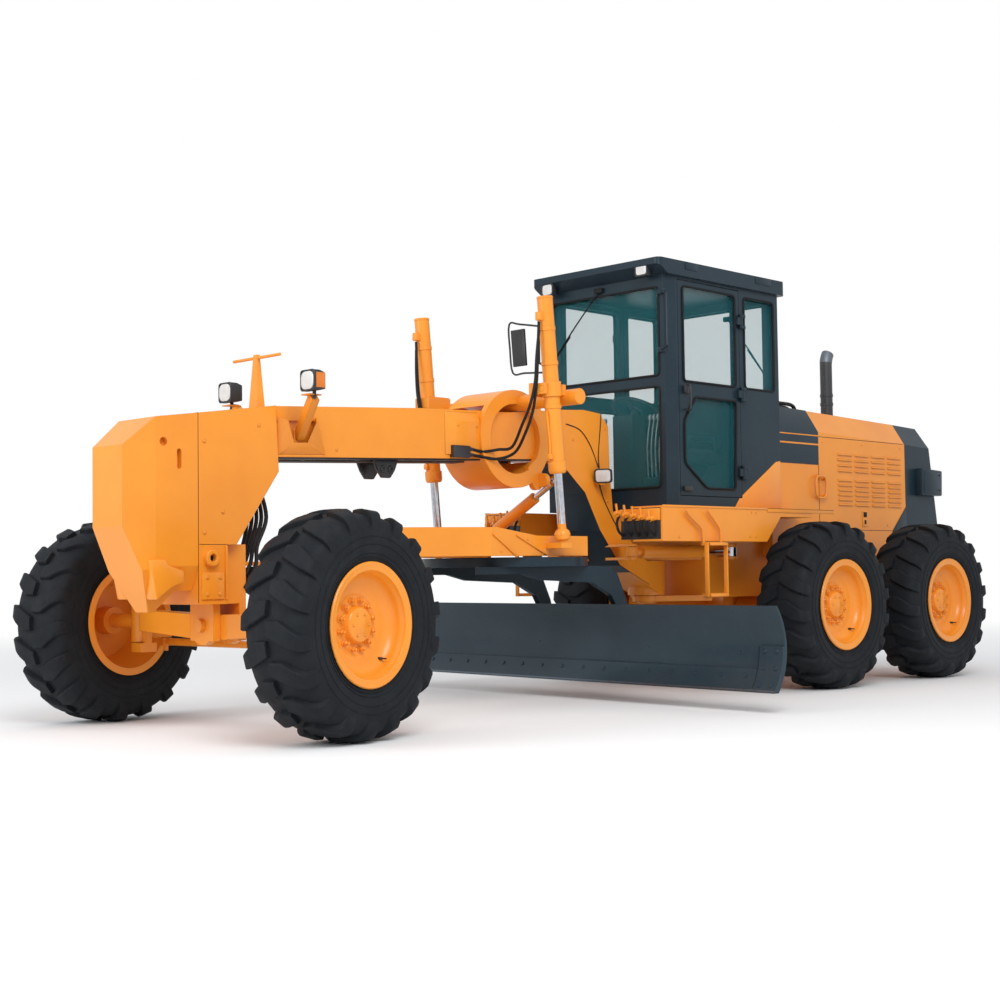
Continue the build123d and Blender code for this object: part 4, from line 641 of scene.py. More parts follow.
# Nose: seams, plugs, tow lugs, pipe bosses and side brackets
box_half = 0.195
line_half = (0.1945, 0.1957)
seam_x = (6.0735, 6.0768)
seam = Form()
for sign in (1, -1):
    widths = [sign * y for y in line_half]
    seam.block(seam_x, widths, (0.78, 1.908), 0)
    seam.block((5.872, 6.07), widths, (1.1255, 1.1285), 0)
seam.block(seam_x, (-box_half, box_half), (1.9095, 1.9112), 0)
seam.make("nose_seams", seal_rubber_and_painted_shade, "front_frame")
plugs = Form()
tow = Form()
recess = Form()
brackets = Form()
casting = [(6.425, 1.036), (6.305, 1.041), (6.292, 1.006), (6.184, 0.972), (6.184, 0.902), (6.265, 0.876),
           (6.375, 0.80)]
boss = [(-0.02, 0.022), (0.035, 0.022), (0.040, 0.026), (0.040, 0.045), (0.035, 0.050), (-0.02, 0.050)]
for sign in (1, -1):
    plugs.side_bolts(sign, box_half, [(6.032, 1.742), (5.899, 1.322), (6.032, 1.198), (5.63, 1.86)],
                     (0.010, 0.007))
    tow.side(casting, sign * 0.10, sign * 0.215, 0.014)
    tow.side([(6.30, 1.03), (6.20, 0.99), (6.20, 0.93), (6.30, 0.93)], sign * 0.06, sign * 0.12, 0.01)
    tow.turn(boss, frame_on((ahead(5.994), sign * box_half, 1.046), (0, sign, 0)), 28, True)
    # Black disc at the bottom of the boss's bore: painted shade inside the bore
    recess.turn([(0.0, 0.0), (0.0, 0.0225), (0.003, 0.0225), (0.003, 0.0)],
                frame_on((ahead(5.994), sign * line_half[0], 1.046), (0, sign, 0)), 20)
    brackets.block((5.90, 6.055), (sign * box_half, sign * 0.207), (0.80, 0.96), 0.003)
    brackets.side_bolts(sign, 0.207, [(x, z) for x in (5.93, 6.02) for z in (0.83, 0.93)], bolt_l)
    brackets.block((5.875, 5.888), (sign * box_half, sign * 0.21), (0.80, 1.12), 0.002)
plugs.make("box_bolts", orange, "front_frame")
tow.make("tow_lugs", orange, "front_frame")
recess.make("boss_bore_painted_shade", seal_rubber_and_painted_shade, "front_frame")
brackets.make("box_brackets", orange, "front_frame")

# Hoses behind the front box, down to the axle
bundle = Form()
for k, y in enumerate((-0.11, -0.06, -0.01, 0.04, 0.09)):
    bundle.tube(at((5.52 + 0.01 * k, y, 1.50), (5.50, y, 1.30), (5.53 + 0.012 * k, y * 1.1, 1.12),
                   (5.60, y * 1.25, 1.0), (5.69, y * 1.3, 0.90 - 0.01 * k)), 0.013, 10, 6)
bundle.make("axle_hoses", hose_rubber, "front_frame")

# Work lamps on the gooseneck, with their leads along its sides
work = Form()
work_lens = Form()
work_arm = Form()
wires = Form()
lead_r = 0.0038
shell_rows = ((-0.062, 0.07, 0.055), (-0.045, 0.105, 0.082), (0.0, 0.135, 0.105), (0.022, 0.135, 0.105))
for sign in (1, -1):
    facing = Vector((0.92, sign * 0.36, -0.12)).normalized()
    place = frame_on((ahead(2.475), sign * 0.245, 1.655), facing)
    work.loft([[place @ Vector((x, y, z)) for x, y in rounded(w, h, 0.02)] for z, w, h in shell_rows])
    work.tube([place @ Vector((x, y, 0.022)) for x, y in rounded(0.130, 0.100, 0.02)], 0.005, 8, 0, True)
    work_lens.loft([[place @ Vector((x, y, z)) for x, y in rounded(w, w * 0.76, 0.02)]
                    for z, w in ((0.0215, 0.118), (0.026, 0.112), (0.028, 0.07))])
    work_arm.loft([at((2.44, y, low), (2.50, y, low), (2.50, y, high), (2.44, y, high))
                   for y, low, high in ((sign * 0.159, 1.60, 1.612), (sign * 0.262, 1.583, 1.592))], 0.002)
    work_arm.bolt((ahead(2.47), sign * 0.24, 1.582), (0, 0, -1), 0.009, 0.01)
    side = sign * 0.1635
    for line in (((2.799, side, 2.033), (2.645, side, 1.996), (2.534, side, 1.889), (2.462, side, 1.76),
                  (2.468, sign * 0.2, 1.70)),
                 ((2.403, side, 2.135), (2.417, side, 2.009), (2.440, side, 1.83),
                  (2.462, sign * 0.19, 1.70)),
                 ((2.45, sign * 0.175, 1.60), (2.39, side, 1.49), (2.325, side, 1.39), (2.25, side, 1.29),
                  (2.17, side, 1.21), (2.10, side, 1.185), (2.04, side, 1.205))):
        wires.tube(at(*line), lead_r, 8, 6)
work.make("work_lamps", dark_plastic, "front_frame")
work_lens.make("work_lamp_lenses", lamp_lens, "front_frame")
work_arm.make("work_lamp_arms", orange, "front_frame")
wires.make("neck_leads", hose_rubber, "front_frame")

# Gooseneck bolts and the hinge's caps
neck = Form()
for sign in (1, -1):
    neck.side_bolts(sign, beam_half, [(2.72, 1.92), (2.36, 2.02), (2.34, 1.47), (2.02, 1.02)],
                    (0.009, 0.006))
hinge_cap = [(0.0, 0.0), (0.0, 0.075), (0.012, 0.07), (0.016, 0.06), (0.016, 0.0)]
for z, way in ((1.066, 1), (0.694, -1)):
    neck.turn(hinge_cap, frame_on((ahead(1.7), 0, z), (0, 0, way)), 36)
neck.make("neck_bolts", orange, "front_frame")

# Lines from the beam up to the lift cylinders: the block on the beam, and hoses to the barrels
manifold = Form()
for sign in (1, -1):
    manifold.block((3.83, 3.99), (sign * 0.160, sign * 0.205), (1.735, 1.818), 0.005)
    for z in (1.757, 1.796):
        manifold.turn([(0, 0.016), (0.02, 0.016), (0.022, 0.012), (0.045, 0.012)],
                      frame_on((ahead(3.832), sign * 0.188, z), (-1, 0, 0)), 6)
manifold.make("hose_blocks", dark_steel, "front_frame")
for side_name, sign in (("left", 1), ("right", -1)):
    lines = Form()
    for gap, z, top in ((0.0, 1.757, 2.66), (0.026, 1.796, 2.60)):
        lines.tube(at((3.80, sign * 0.188, z), (3.70, sign * 0.20, z - 0.012),
                      (3.60, sign * 0.245, z - 0.022 + gap),
                      (3.53 + gap, sign * 0.34, z + 0.02), (3.55 + gap, sign * 0.46, z + 0.14 + gap),
                      (3.565 + gap, sign * 0.555, z + 0.30), (3.572 + gap * 0.6, sign * 0.60, 2.25),
                      (3.575 + gap * 0.4, sign * 0.615, 2.42), (3.572, sign * 0.628, top)), 0.0105, 10, 7)
    piece = lines.make("lift_hoses_" + side_name, hose_rubber, None)
    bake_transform(piece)

# Lift cylinders: glands, clamps, pipes and end caps, along the barrel's own line
gland = [(-0.585, 0.032), (-0.585, 0.050), (-0.578, 0.058), (-0.560, 0.0635), (-0.505, 0.0635),
         (-0.500, 0.0555)]
top_cap = [(0.628, 0.0), (0.628, 0.0565), (0.640, 0.0575), (0.646, 0.050), (0.646, 0.0)]
ball_cap = [(-0.047, 0.0), (-0.047, 0.030), (-0.030, 0.050), (0.0, 0.056), (0.022, 0.050), (0.036, 0.036),
            (0.040, 0.0302), (0.075, 0.0302)]
for side_name, sign in (("left", 1), ("right", -1)):
    pivot, eye = at((3.455, sign * 0.63, 2.2), (3.365, sign * 0.63, 1.196))
    along = (pivot - eye).normalized()
    place = frame_on(pivot, along, (0, 1, 0))
    trim = Form()
    trim.turn(gland, place, 40)
    trim.turn(top_cap, place, 40)
    for height in (-0.12, 0.18, 0.42):
        low, high = height - 0.014, height + 0.014
        trim.turn([(low, 0.054), (low, 0.0595), (high, 0.0595), (high, 0.054)], place, 40, True)
    port = pivot + along * 0.50
    low_port = pivot - along * 0.47
    for spot, near, far, half_y, half_z in ((port, 0.045, 0.090, 0.022, 0.03),
                                            (low_port, 0.048, 0.080, 0.018, 0.02)):
        trim.box(spot + Vector((near, -half_y, -half_z)), spot + Vector((far, half_y, half_z)), 0.005)
    trim.make("lift_trim_" + side_name, orange, "lift_barrel_" + side_name)
    pipe = Form()
    pipe.tube([low_port + Vector((0.066, 0, 0.018)), low_port + Vector((0.068, 0, 0.10)),
               pivot - along * 0.16 + Vector((0.068, 0, 0))], 0.009, 10, 5)
    pipe.make("lift_pipe_" + side_name, orange, "lift_barrel_" + side_name)
    cap = Form()
    cap.turn(ball_cap, frame_on(eye, along, (0, 1, 0)), 36)
    cap.bolts([eye + polar(0.05, a, -0.004) for a in (0.6, 2.5, 3.8, 5.6)], (0, 0, 1), 0.007, 0.016)
    cap.make("lift_eye_cap_" + side_name, orange, "lift_rod_" + side_name)

# Drawbar ribs, blade bolts and its worn lower edge
ribs = Form()
for sign in (1, -1):
    for x0, z0, x1, z1 in ((3.94, 1.199, 3.715, 1.05), (3.712, 1.193, 3.415, 1.058)):
        first, last = at((x0, sign * 0.52, z0), (x1, sign * 0.52, z1))
        run = (last - first).normalized()
        off = Vector((-run.z, 0, run.x)) * 0.006
        ribs.prism([first - off, first + off, last + off, last - off], (0, sign * 0.012, 0), 0.002)
    ribs.side_bolts(sign, 0.52, [(3.86, 1.085), (3.60, 1.165), (3.46, 1.085)], (0.009, 0.007))
ribs.make("drawbar_ribs", orange, "drawbar")

blade_at = Matrix.Translation((circle_x, 0, 0)) @ Matrix.Rotation(blade_turn, 4, "Z")
blade_left, blade_right = 2.044, -2.156
bow_x, bow_z, bow_r = -0.1616, 0.4175, 0.4884
blade_ends = ((blade_left, -1), (blade_right, 1))


def blade_point(across, z, proud):
    """A point on the blade's bowed front face, stood off by proud."""
    return blade_at @ Vector((bow_x - sqrt((bow_r - proud) ** 2 - (z - bow_z) ** 2), across, z))


def blade_bolt(form, across, z):
    slope = (z - bow_z) / bow_r
    out = Vector((sqrt(1 - slope * slope), 0, -slope))
    form.bolt(blade_point(across, z, 0.020), blade_at.to_3x3() @ out, 0.013, 0.008)


edge_bolts = Form()
for k in range(17):
    blade_bolt(edge_bolts, blade_right + 0.29 + (blade_left - blade_right - 0.58) * k / 16, 0.235)
for end, way in blade_ends:
    for inset in (0.05, 0.15):
        for z in (0.40, 0.29, 0.18):
            blade_bolt(edge_bolts, end + way * inset, z)
edge_bolts.make("blade_bolts", blade_paint, "blade")
worn = Form()
worn_cut = ((0.1355, 0.0195), (0.152, 0.0212), (0.152, 0.0195), (0.1365, 0.0195))
worn.loft([[blade_point(across, z, proud) for z, proud in worn_cut]
           for across in (blade_left - 0.001, blade_right + 0.001)])
worn.make("blade_worn_edge", worn_edge, "blade")
end_seams = Form()
for end, way in blade_ends:
    end_seams.tube([blade_point(end + way * 0.2, 0.16 + 0.0275 * k, 0.0205) for k in range(11)], 0.0022, 6)
end_seams.make("blade_seams", seal_rubber_and_painted_shade, "blade")

# Engine hood: dark panel over its front end, stripes, seams, handles, latch, tail plates
wall = 0.5
shoulder_drop, shoulder_y = 0.19, 0.38
panel_ends = (0.679, -0.013)
panel_foot = 1.82
panel_out, panel_in = 0.004, -0.001


def hood_top(length):
    return 2.31 - 0.0286 * (0.68 - length)


def hood_cut(length, lift):
    """Half of the panel's outline at a station, from its foot up, stood off by lift."""
    top = hood_top(length)
    return [(wall + lift, panel_foot), (wall + lift, top - shoulder_drop + 0.3 * lift),
            (shoulder_y + 0.3 * lift, top + lift)]


panel = Form()
for sign in (1, -1):
    panel.loft([at(*[(length, sign * y, z)
                     for y, z in hood_cut(length, panel_out) + hood_cut(length, panel_in)[::-1]])
                for length in panel_ends])
half = shoulder_y + 0.001
crown = ((-half, panel_out), (half, panel_out), (half, panel_in), (-half, panel_in))
panel.loft([at(*[(length, y, hood_top(length) + lift) for y, lift in crown]) for length in panel_ends])
panel.make("hood_panel", slate)
stripes = Form()
seams = Form()
for sign in (1, -1):
    for heights in ((2.062, 2.072), (1.985, 1.999)):
        stripes.block((-0.011, 0.60), (sign * 0.503, sign * 0.5055), heights, 0)
    for lengths, heights in (((-0.018, -0.013), (1.30, 2.09)), ((-1.42, -0.02), (1.268, 1.272)),
                             ((-1.40, -0.02), (2.060, 2.064))):
        seams.block(lengths, (sign * 0.4995, sign * 0.5012), heights, 0)
for x in (-0.0155, -0.70, -1.40):
    seams.block((x - 0.002, x + 0.002), (-0.379, 0.379), (hood_top(x) - 0.001, hood_top(x) + 0.0012), 0)
stripes.make("hood_stripes", orange)
seams.make("hood_seams", seal_rubber_and_painted_shade)
handle = Form()
latch = Form()
grip_out = 0.03
foot_profile = [(0, 0.012), (grip_out + 0.004, 0.012), (grip_out + 0.004, 0.0)]
hood_bolts = [(-0.08, 2.02), (-0.70, 2.02), (-1.34, 2.02), (-0.10, 1.32), (-1.10, 1.32)]
for sign in (1, -1):
    face = sign * wall
    grip = [(-0.005 + x, 1.63 + z) for x, z in rounded(0.155, 0.185, 0.05, 5)]
    handle.tube(side_line(sign * (wall + grip_out), grip), 0.010, 10, 0, True)
    for z in (1.56, 1.70):
        handle.turn(foot_profile, frame_on((ahead(-0.082), face, z), (0, sign, 0)), 14)
    handle.block((-0.764, -0.683), (face, sign * 0.506), (1.30, 1.44), 0.002)
    handle.side_bolts(sign, wall, hood_bolts, bolt_s)
    latch.block((-0.752, -0.695), (face, sign * 0.5072), (1.385, 1.43), 0.001)
    latch.block((-0.735, -0.712), (face, sign * 0.511), (1.325, 1.36), 0.002)
handle.make("hood_handles", orange)
latch.make("hood_latches", seal_rubber_and_painted_shade)
tail = Form()
for sign in (1, -1):
    for outline, y0, y1, bevel in (
            ([(-1.421, 1.49), (-1.20, 1.285), (-1.05, 1.075), (-1.421, 1.075)], 0.4995, 0.504, 0.001),
            ([(-1.59, 1.60), (-1.60, 1.85), (-1.965, 1.835), (-1.955, 1.60)], 0.495, 0.575, 0.012),
            ([(-1.62, 1.625), (-1.63, 1.825), (-1.93, 1.812), (-1.92, 1.625)], 0.574, 0.580, 0.002)):
        tail.side(outline, sign * y0, sign * y1, bevel)
    tail.side_bolts(sign, 0.58, [(-1.65, 1.65), (-1.65, 1.80), (-1.90, 1.65), (-1.90, 1.79)], bolt_s)
tail.make("tail_boxes", slate)
rear_lamp = Form()
for y in (-0.36, 0.36):
    rear_lamp.block((-1.994, -1.978), (y - 0.06, y + 0.06), (1.66, 1.74))
rear_lamp.make("tail_lamps", amber_lens)

# Pressed lips over the hood's louvre slots, open underneath
lips = Form()
for sign in (1, -1):
    inner, outer = sign * 0.4995, sign * 0.5125
    behind = outer - sign * 0.002
    # Half length, then distance out and height of the outer and the inner skin
    lip_cuts = ((0.110, inner, 0.012, inner, 0.009), (0.106, outer, 0.003, behind, 0.002),
                (0.106, outer, -0.008, behind, -0.008))
    for bank_z, pitch, count in ((1.854, 0.047, 4), (1.595, 0.042, 6)):
        for row in range(count):
            z = bank_z + pitch * (row - (count - 1) / 2)
            for column in range(4):
                middle = ahead(-0.42 - 0.27 * column)
                lips.loft([[(middle - half, y0, z + z0), (middle + half, y0, z + z0),
                            (middle + half, y1, z + z1), (middle - half, y1, z + z1)]
                           for half, y0, z0, y1, z1 in lip_cuts])
                for end in (-1, 1):
                    x = middle + end * 0.106
                    lips.loft([[(x + end * root, inner, z + 0.012), (x + end * rim, outer, z + 0.003),
                                (x + end * rim, outer, z - 0.008), (x + end * root, inner, z - 0.008)]
                               for root, rim in ((0, 0), (0.004, 0.001))])
lips.make("hood_louvre_lips", orange)

# Exhaust: grey outlet over the stack's bend, with clamps lower down
stack_x, stack_r, bend_r, bend_z = ahead(-0.93), 0.055, 0.18, 2.80
full_bend = radians(35)


def bend_centre(angle):
    return Vector((stack_x - bend_r * (1 - cos(angle)), 0, bend_z + bend_r * sin(angle)))


outlet = []
for share in (0.2, 0.4, 0.6, 0.8, 1.0):
    angle = full_bend * share
    across = Vector((cos(angle), 0, sin(angle)))
    outlet.append([bend_centre(angle) + (across * cos(a) + Vector((0, 1, 0)) * sin(a)) * (stack_r + 0.0015)
                   for a in [2 * pi * k / 40 for k in range(40)]])
Form().loft(outlet).make("stack_tip", stack_tip, angle=60)
# A black disc over the outlet's mouth: painted shade inside the pipe
mouth = Form()
mouth.turn([(0.0002, 0.0), (0.0002, 0.049), (0.001, 0.049), (0.001, 0.0)],
           frame_on(bend_centre(full_bend), (-sin(full_bend), 0, cos(full_bend))), 32)
mouth.make("stack_mouth_painted_shade", seal_rubber_and_painted_shade)
clamp = Form()
for z, half, radius in ((2.44, 0.012, 0.0595), (2.52, 0.012, 0.0595), (2.288, 0.004, 0.080)):
    clamp.turn([(-half, 0.054), (-half, radius), (half, radius), (half, 0.054)],
               Matrix.Translation((stack_x, 0, z)), 36, True)
clamp.make("stack_clamps", stack_black)
engine_hoses = Form()
for y, high in ((0.30, 2.36), (0.24, 2.34), (-0.28, 2.35)):
    engine_hoses.tube(at((0.69, y, 2.20), (0.66, y, 2.31), (0.58, y, high), (0.30, y * 0.97, high - 0.01),
                         (0.06, y * 0.95, high - 0.015), (-0.01, y * 0.93, 2.30)), 0.016, 10, 6)
engine_hoses.make("hood_hoses", hose_rubber)

# Cab: orange foot plates, window and door seals, lamps, wipers, mirror, grab bars and door furniture
plates = Form()
foot_plate = [(0.725, 1.414), (1.36, 1.414), (1.286, 1.499), (1.249, 1.499), (1.249, 1.522), (0.786, 1.805),
              (0.725, 1.815)]
for sign in (1, -1):
    plates.side(foot_plate, sign * 0.62, sign * 0.624, 0.001)
plates.make("cab_foot_plates", orange)


def pane_ring(form, corners):
    """A seal round a pane with softened corners."""
    soft, steps = 0.035, 4
    line = []
    for k, corner in enumerate(corners):
        before, after = corners[k - 1], corners[(k + 1) % len(corners)]
        a = corner + (before - corner).normalized() * soft
        b = corner + (after - corner).normalized() * soft
        for step in range(steps + 1):
            t = step / steps
            line.append(a * (1 - t) ** 2 + corner * 2 * t * (1 - t) + b * t ** 2)
    form.tube(line, 0.009, 8, 0, True)


seals = Form()
for x, half, low, high in ((2.172, 0.55, 1.565, 2.325), (2.172, 0.55, 2.41, 3.08),
                           (0.717, 0.495, 2.375, 3.10)):
    pane_ring(seals, at((x, -half, low), (x, half, low), (x, half, high), (x, -half, high)))
for sign in (1, -1):
    pane_ring(seals, side_line(sign * 0.622, [(0.785, 2.375), (1.185, 2.375), (1.185, 3.10), (0.785, 3.10)]))
seals.make("cab_seals", seal_rubber_and_painted_shade)
door_panes = ([(1.31, 2.375), (1.97, 2.375), (1.97, 3.10), (1.31, 3.10)],
              [(1.335, 1.565), (1.705, 1.565), (1.97, 1.75), (1.97, 2.075), (1.83, 2.26), (1.31, 2.26)])
for side_name, sign in (("left", 1), ("right", -1)):
    door_seals = Form()
    for corners in door_panes:
        pane_ring(door_seals, side_line(sign * 0.6255, corners))
    door_seals.make("door_seals_" + side_name, seal_rubber_and_painted_shade, "door_" + side_name)
    furniture = Form()
    near, far = sign * 0.626, sign * 0.672
    furniture.block((1.93, 1.985), (sign * 0.625, sign * 0.650), (2.28, 2.34), 0.005)
    furniture.tube(at((1.955, near, 2.33), (1.955, far, 2.33), (1.955, far, 2.16), (1.955, near, 2.16)),
                   0.008, 10, 5)
    furniture.block((1.905, 2.0), (sign * 0.625, sign * 0.645), (1.538, 1.574))
    furniture.make("door_furniture_" + side_name, dark_plastic, "door_" + side_name)

lamps = Form()
glow = Form()
for y0, y1, z0, z1 in ((0.415, 0.532, 3.160, 3.268), (-0.555, -0.437, 3.135, 3.235)):
    width, high, middle_y = y1 - y0, z1 - z0, (y0 + y1) / 2
    lamps.loft([at((x, y0 + trim, z0 + trim), (x, y1 - trim, z0 + trim),
                   (x, y1 - trim, z1 - trim), (x, y0 + trim, z1 - trim))
                for x, trim in ((2.20, 0.02), (2.235, 0), (2.275, 0))], 0.005)
    face = Matrix.Translation((ahead(2.275), middle_y, (z0 + z1) / 2))
    bezel = rounded(width - 0.006, high - 0.006, 0.015)
    lamps.tube([face @ Vector((0, y, z)) for y, z in bezel], 0.005, 8, 0, True)
    glow.loft([[face @ Vector((depth, y, z)) for y, z in rounded(width - inset, high - inset, 0.02)]
               for depth, inset in ((-0.001, 0.018), (0.003, 0.022), (0.005, 0.048))])
    lamps.block((2.175, 2.22), (middle_y - 0.012, middle_y + 0.012), (z1 - 0.03, z1 - 0.004), 0.002)
lamps.make("roof_lamps", dark_plastic)
glow.make("roof_lamp_lenses", lamp_lens)

roof = Form()
grab_bar = ((2.185, 0.585, 2.60), (2.205, 0.655, 2.62), (2.205, 0.66, 2.66), (2.205, 0.66, 2.98),
            (2.205, 0.655, 3.02), (2.185, 0.585, 3.04))
for sign in (1, -1):
    for lengths in ((0.859, 1.065), (1.82, 1.969)):
        roof.block(lengths, (sign * 0.654, sign * 0.660), (3.225, 3.284), 0.001)
    roof.tube(at((0.66, sign * 0.5, 3.20), (0.66, sign * 0.5, 3.215)), 0.012, 10)
    roof.tube(at(*[(x, sign * y, z) for x, y, z in grab_bar]), 0.010, 10, 5)
    for z in (2.60, 3.04):
        roof.block((2.165, 2.19), (sign * 0.55, sign * 0.615), (z - 0.02, z + 0.02))
roof.make("cab_brackets", slate)

wipers = Form()
for x, foot_y, foot_z, head_y, head_z, arm in ((2.180, -0.03, 3.115, -0.475, 2.655, 0.02),
                                               (0.705, 0.113, 3.03, 0.42, 2.60, -0.02)):
    foot, head = at((x + arm * 0.2, foot_y, foot_z), (x + arm, head_y, head_z))
    bow = Vector((arm * 0.4, 0, 0))
    along = (head - foot).normalized()
    wipers.tube([foot, foot.lerp(head, 0.5) + bow, head], 0.006, 8, 6)
    wipers.tube([head - along * 0.20 - bow, head + along * 0.14 - bow], 0.007, 6)
    wipers.block((x - 0.02, x + 0.02), (foot_y - 0.04, foot_y + 0.04), (foot_z - 0.01, foot_z + 0.03), 0.006)
wipers.make("wipers", seal_rubber_and_painted_shade)
mirror_frame = Form()
mirror_face = Form()
mirror_frame.tube(at((2.2, -0.60, 2.91), (2.28, -0.80, 2.945), (2.3, -0.90, 2.953), (2.3, -0.895, 2.75),
                     (2.3, -0.864, 2.552), (2.27, -0.76, 2.545), (2.2, -0.60, 2.54)), 0.008, 10, 4)
shell_cut = ((-0.855, 2.60), (-0.88, 2.90), (-0.73, 2.90), (-0.71, 2.60))
glass_cut = ((-0.848, 2.61), (-0.872, 2.89), (-0.738, 2.89), (-0.72, 2.61))
mirror_frame.loft([at(*[(x, y, z) for y, z in shell_cut]) for x in (2.288, 2.300, 2.308)], 0.004)
mirror_face.loft([at(*[(x, y, z) for y, z in glass_cut]) for x in (2.2865, 2.2885)])
mirror_frame.make("mirror_frame", black_paint_and_painted_shade)
mirror_face.make("mirror_face", mirror_glass)

# Inside the cab: seat, levers and their boxes
floor_z = 1.4603


def seat_part(x, radius, rows):
    """Rounded slabs above the cab's floor, from (height, length, width) rows."""
    return Form().loft([[(ahead(x) + dx, y, floor_z + z) for dx, y in rounded(length, width, radius)]
                        for z, length, width in rows])


pedestal_rows = ((0.001, 0.355), (0.05, 0.35), (0.10, 0.28), (0.20, 0.25), (0.30, 0.34), (0.328, 0.34))
pedestal = seat_part(1.25, 0.03, [(z, w, w) for z, w in pedestal_rows])
for sign in (-1, 1):
    pedestal.block((1.10, 1.42), (sign * 0.222, sign * 0.248), (floor_z + 0.52, floor_z + 0.555), 0.008)
    pedestal.tube(at((1.08, sign * 0.24, floor_z + 0.35), (1.10, sign * 0.24, floor_z + 0.52)), 0.009, 10)
pedestal_piece = pedestal.make("seat_frame", dark_plastic)
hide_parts("seat")
cushion = seat_part(1.27, 0.05, ((0.330, 0.44, 0.46), (0.345, 0.474, 0.494), (0.42, 0.478, 0.498),
                                 (0.445, 0.46, 0.48), (0.457, 0.40, 0.42), (0.460, 0.2, 0.22)))
rest = seat_part(1.01, 0.035, ((0.462, 0.09, 0.44), (0.48, 0.115, 0.476), (0.80, 0.118, 0.478),
                               (0.94, 0.112, 0.44), (0.99, 0.10, 0.36), (1.008, 0.06, 0.28)))
cushion_piece = cushion.make("seat_cushion", seat_cloth, angle=50)
rest_piece = rest.make("seat_back", seat_cloth, angle=50)
levers = Form()
knob = [(-0.02, 0.0), (-0.02, 0.010), (0.0, 0.016), (0.02, 0.012), (0.028, 0.0)]
for lever_y in (0.23, 0.27, 0.31, 0.35):
    for y in (lever_y, -lever_y):
        levers.tube(at((1.93, y, 1.64), (1.94, y, 1.90), (1.90, y, 2.12)), 0.006, 8, 4)
        levers.turn(knob, frame_on((ahead(1.90), y, 2.13), (-0.15, 0, 1)), 14)
levers.make("cab_levers", bolt_steel)
lever_boots = Form()
for sign in (1, -1):
    lever_boots.block((1.88, 1.98), (sign * 0.21, sign * 0.37), (1.462, 1.66), 0.012)
lever_boots.make("lever_boxes", dark_plastic)

# Valve bank and its pipes between the cab and the side boxes
bank = Form()
pipes = Form()
shade = Form()
spool = [(0, 0.022), (0.03, 0.022), (0.034, 0.014), (0.07, 0.014), (0.072, 0.0)]
for sign in (1, -1):
    widths = (sign * 0.515, sign * 0.885)
    # Black plate over the side box's front face: painted shade, where the box front looks open and dark
    shade.block((2.600, 2.604), widths, (1.165, 1.392), 0.001)
    for k in range(5):
        y = sign * (0.52 + 0.075 * k)
        drop = 0.012 * k
        bank.turn(spool, frame_on((ahead(2.606), y, 1.36 - drop), (1, 0, 0)), 16)
        bank.turn([(-0.05, 0.009), (0.045, 0.009)], frame_on((ahead(2.655), y, 1.385 - drop), (0.2, 0, 1)),
                  10)
        pipes.tube(at((2.63, y, 1.34 - 0.01 * k), (2.655, y, 1.29), (2.65, y + sign * 0.01, 1.23),
                      (2.60, y + sign * 0.015, 1.19)), 0.010, 8, 5)
    bank.block((2.602, 2.622), widths, (1.30, 1.386))
bank.make("valve_bank", orange)
pipes.make("valve_pipes", hose_rubber)
shade.make("valve_painted_shade_plate", black_paint_and_painted_shade)

# Sheet guard over the middle wheels, and the side boxes' lip and bolts
guard = Form()
for sign in (1, -1):
    lip = (sign * 0.901, sign * 0.905)
    guard.block((0.39, 1.315), (sign * 0.502, sign * 0.905), (1.4055, 1.4105), 0.001)
    guard.block((0.39, 1.315), lip, (1.378, 1.4105), 0.001)
    guard.block((1.315, 2.598), lip, (1.395, 1.4105), 0.001)
    guard.side_bolts(sign, 0.9, [(1.46, 1.375), (1.52, 1.375), (1.47, 1.19), (1.54, 1.19), (2.41, 1.18)],
                     bolt_m)
guard.make("side_guards", orange)

# Ladders up to the cab
ladder = Form()
rung = (1.951, 2.169)
rails = ([(2.16, 1.12), (2.165, 1.17), (2.179, 1.238), (2.25, 1.29), (2.325, 1.338), (2.36, 1.374)],
         [(1.955, 1.12), (1.95, 1.17), (1.96, 1.24), (2.02, 1.30), (2.07, 1.345), (2.10, 1.374)])
for sign in (1, -1):
    for x in (1.945, 2.175):
        ladder.block((x - 0.006, x + 0.006), (sign * 0.950, sign * 0.985), (0.742, 1.138), 0.002)
    y0, y1 = sorted((sign * 0.91, sign * 0.997))
    for z in (0.758, 1.133):
        ladder.block(rung, (y0, y1), (z, z + 0.006), 0.002)
        ladder.block(rung, (y0, y0 + 0.004), (z - 0.016, z + 0.002), 0.001)
        ladder.block(rung, (y1 - 0.004, y1), (z - 0.016, z + 0.002), 0.001)
        for k in range(5):
            x = 1.965 + 0.045 * k
            ladder.block((x, x + 0.015), (y0 + 0.012, y1 - 0.012), (z + 0.006, z + 0.009), 0.001)
    for line in rails:
        ladder.tube(side_line(sign * 0.93, line), 0.011, 10, 5)
ladder_piece = ladder.make("ladders", orange)
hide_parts("steps")

# Floor, light and camera
def mix_shaders(tree, share, first, second, out):
    """Two shaders, mixed by share, on an output's surface."""
    node = add_node(tree, "MixShader")
    for value, socket in zip((share, first, second), node.inputs):
        link(tree, value, socket)
    link(tree, node.outputs["Shader"], tree.nodes[out].inputs["Surface"])


def area_light(name, place, target, size, power):
    data = bpy.data.lights.new(name, "AREA")
    data.shape = "DISK"
    data.size = size
    data.energy = power
    obj = bpy.data.objects.new(name, data)
    obj.location = place
    obj.rotation_euler = (Vector(target) - Vector(place)).to_track_quat("-Z", "Y").to_euler()
    bpy.context.scene.collection.objects.link(obj)


floor_mesh = bpy.data.meshes.new("floor")
floor_mesh.from_pydata([(-60, -60, 0), (60, -60, 0), (60, 60, 0), (-60, 60, 0)], [], [(0, 1, 2, 3)])
floor = bpy.data.objects.new("floor", floor_mesh)
bpy.context.scene.collection.objects.link(floor)
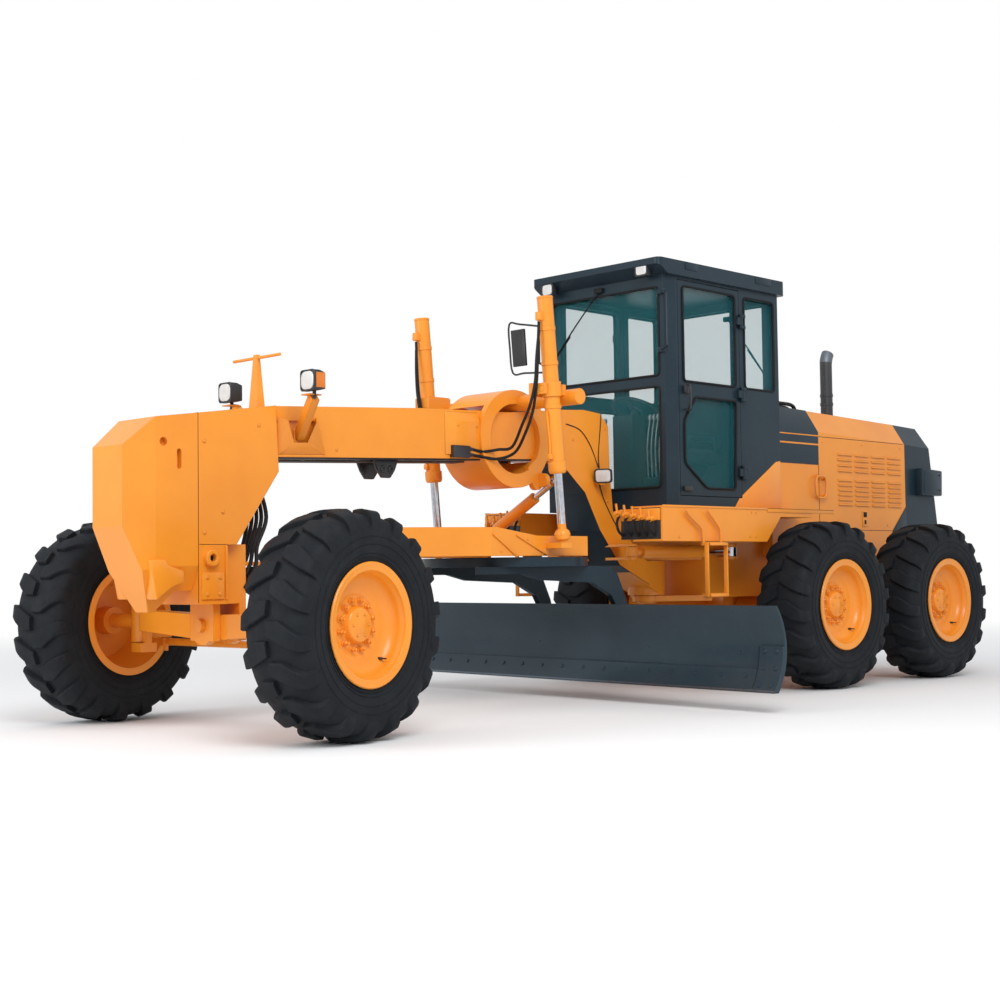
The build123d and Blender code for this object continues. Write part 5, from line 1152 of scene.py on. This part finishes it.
# The floor fades to white away from the machine, where the camera sees it
fade_start, fade_end = 5.5, 17
mat, tree, shader = new_material("floor")
put(shader, Base_Color=(0.86, 0.86, 0.86, 1), Roughness=0.9, Specular_IOR_Level=0.15)
reach = add_node(tree, "VectorMath")
reach.operation = "LENGTH"
link(tree, add_node(tree, "NewGeometry").outputs["Position"], reach.inputs[0])
fade = add_node(tree, "MapRange", From_Min=fade_start, From_Max=fade_end)
link(tree, reach.outputs["Value"], fade.inputs["Value"])
in_view = add_node(tree, "LightPath").outputs["Is Camera Ray"]
mix_shaders(tree, reckon(tree, "MULTIPLY", fade.outputs["Result"], in_view), shader.outputs["BSDF"],
            add_node(tree, "Emission", Color=(1, 1, 1, 1)).outputs["Emission"], "Material Output")
floor_mesh.materials.append(mat)

world = bpy.data.worlds.new("studio")
bpy.context.scene.world = world
world.use_nodes = True
tree = world.node_tree
back = put(tree.nodes["Background"], Color=(0.95, 0.97, 1, 1), Strength=0.8)
seen = add_node(tree, "Background", Color=(1, 1, 1, 1), Strength=1)
path = add_node(tree, "LightPath").outputs
either = reckon(tree, "MAXIMUM", path["Is Camera Ray"], path["Is Transmission Ray"])
mix_shaders(tree, either, back.outputs["Background"], seen.outputs["Background"], "World Output")

area_light("key", (7, 9, 9), (0, 0, 1), 7, 900)
area_light("front_fill", (12, -3, 5), (1, 0, 1), 6, 350)

camera_data = bpy.data.cameras.new("camera")
camera_data.lens = 57.16
camera_data.sensor_width = 36
camera_data.clip_end = 200
camera = bpy.data.objects.new("camera", camera_data)
bpy.context.scene.collection.objects.link(camera)
bpy.context.scene.camera = camera
camera_at = (9.2086, 8.0743, 0.9358)
turn, pitch, roll = radians(44.7395), radians(2.6269), radians(-0.73398)
forward = Vector((-cos(turn), -sin(turn), 0))
right = Vector((-sin(turn), cos(turn), 0))
up = Vector((0, 0, 1))
look = forward * cos(pitch) + up * sin(pitch)
above = -forward * sin(pitch) + up * cos(pitch)
side_way = right * cos(roll) + above * sin(roll)
top_way = -right * sin(roll) + above * cos(roll)
facing = Matrix((side_way, top_way, -look)).transposed()
camera.matrix_world = Matrix.Translation(camera_at) @ facing.to_4x4()
bpy.context.scene.view_settings.view_transform = "Standard"
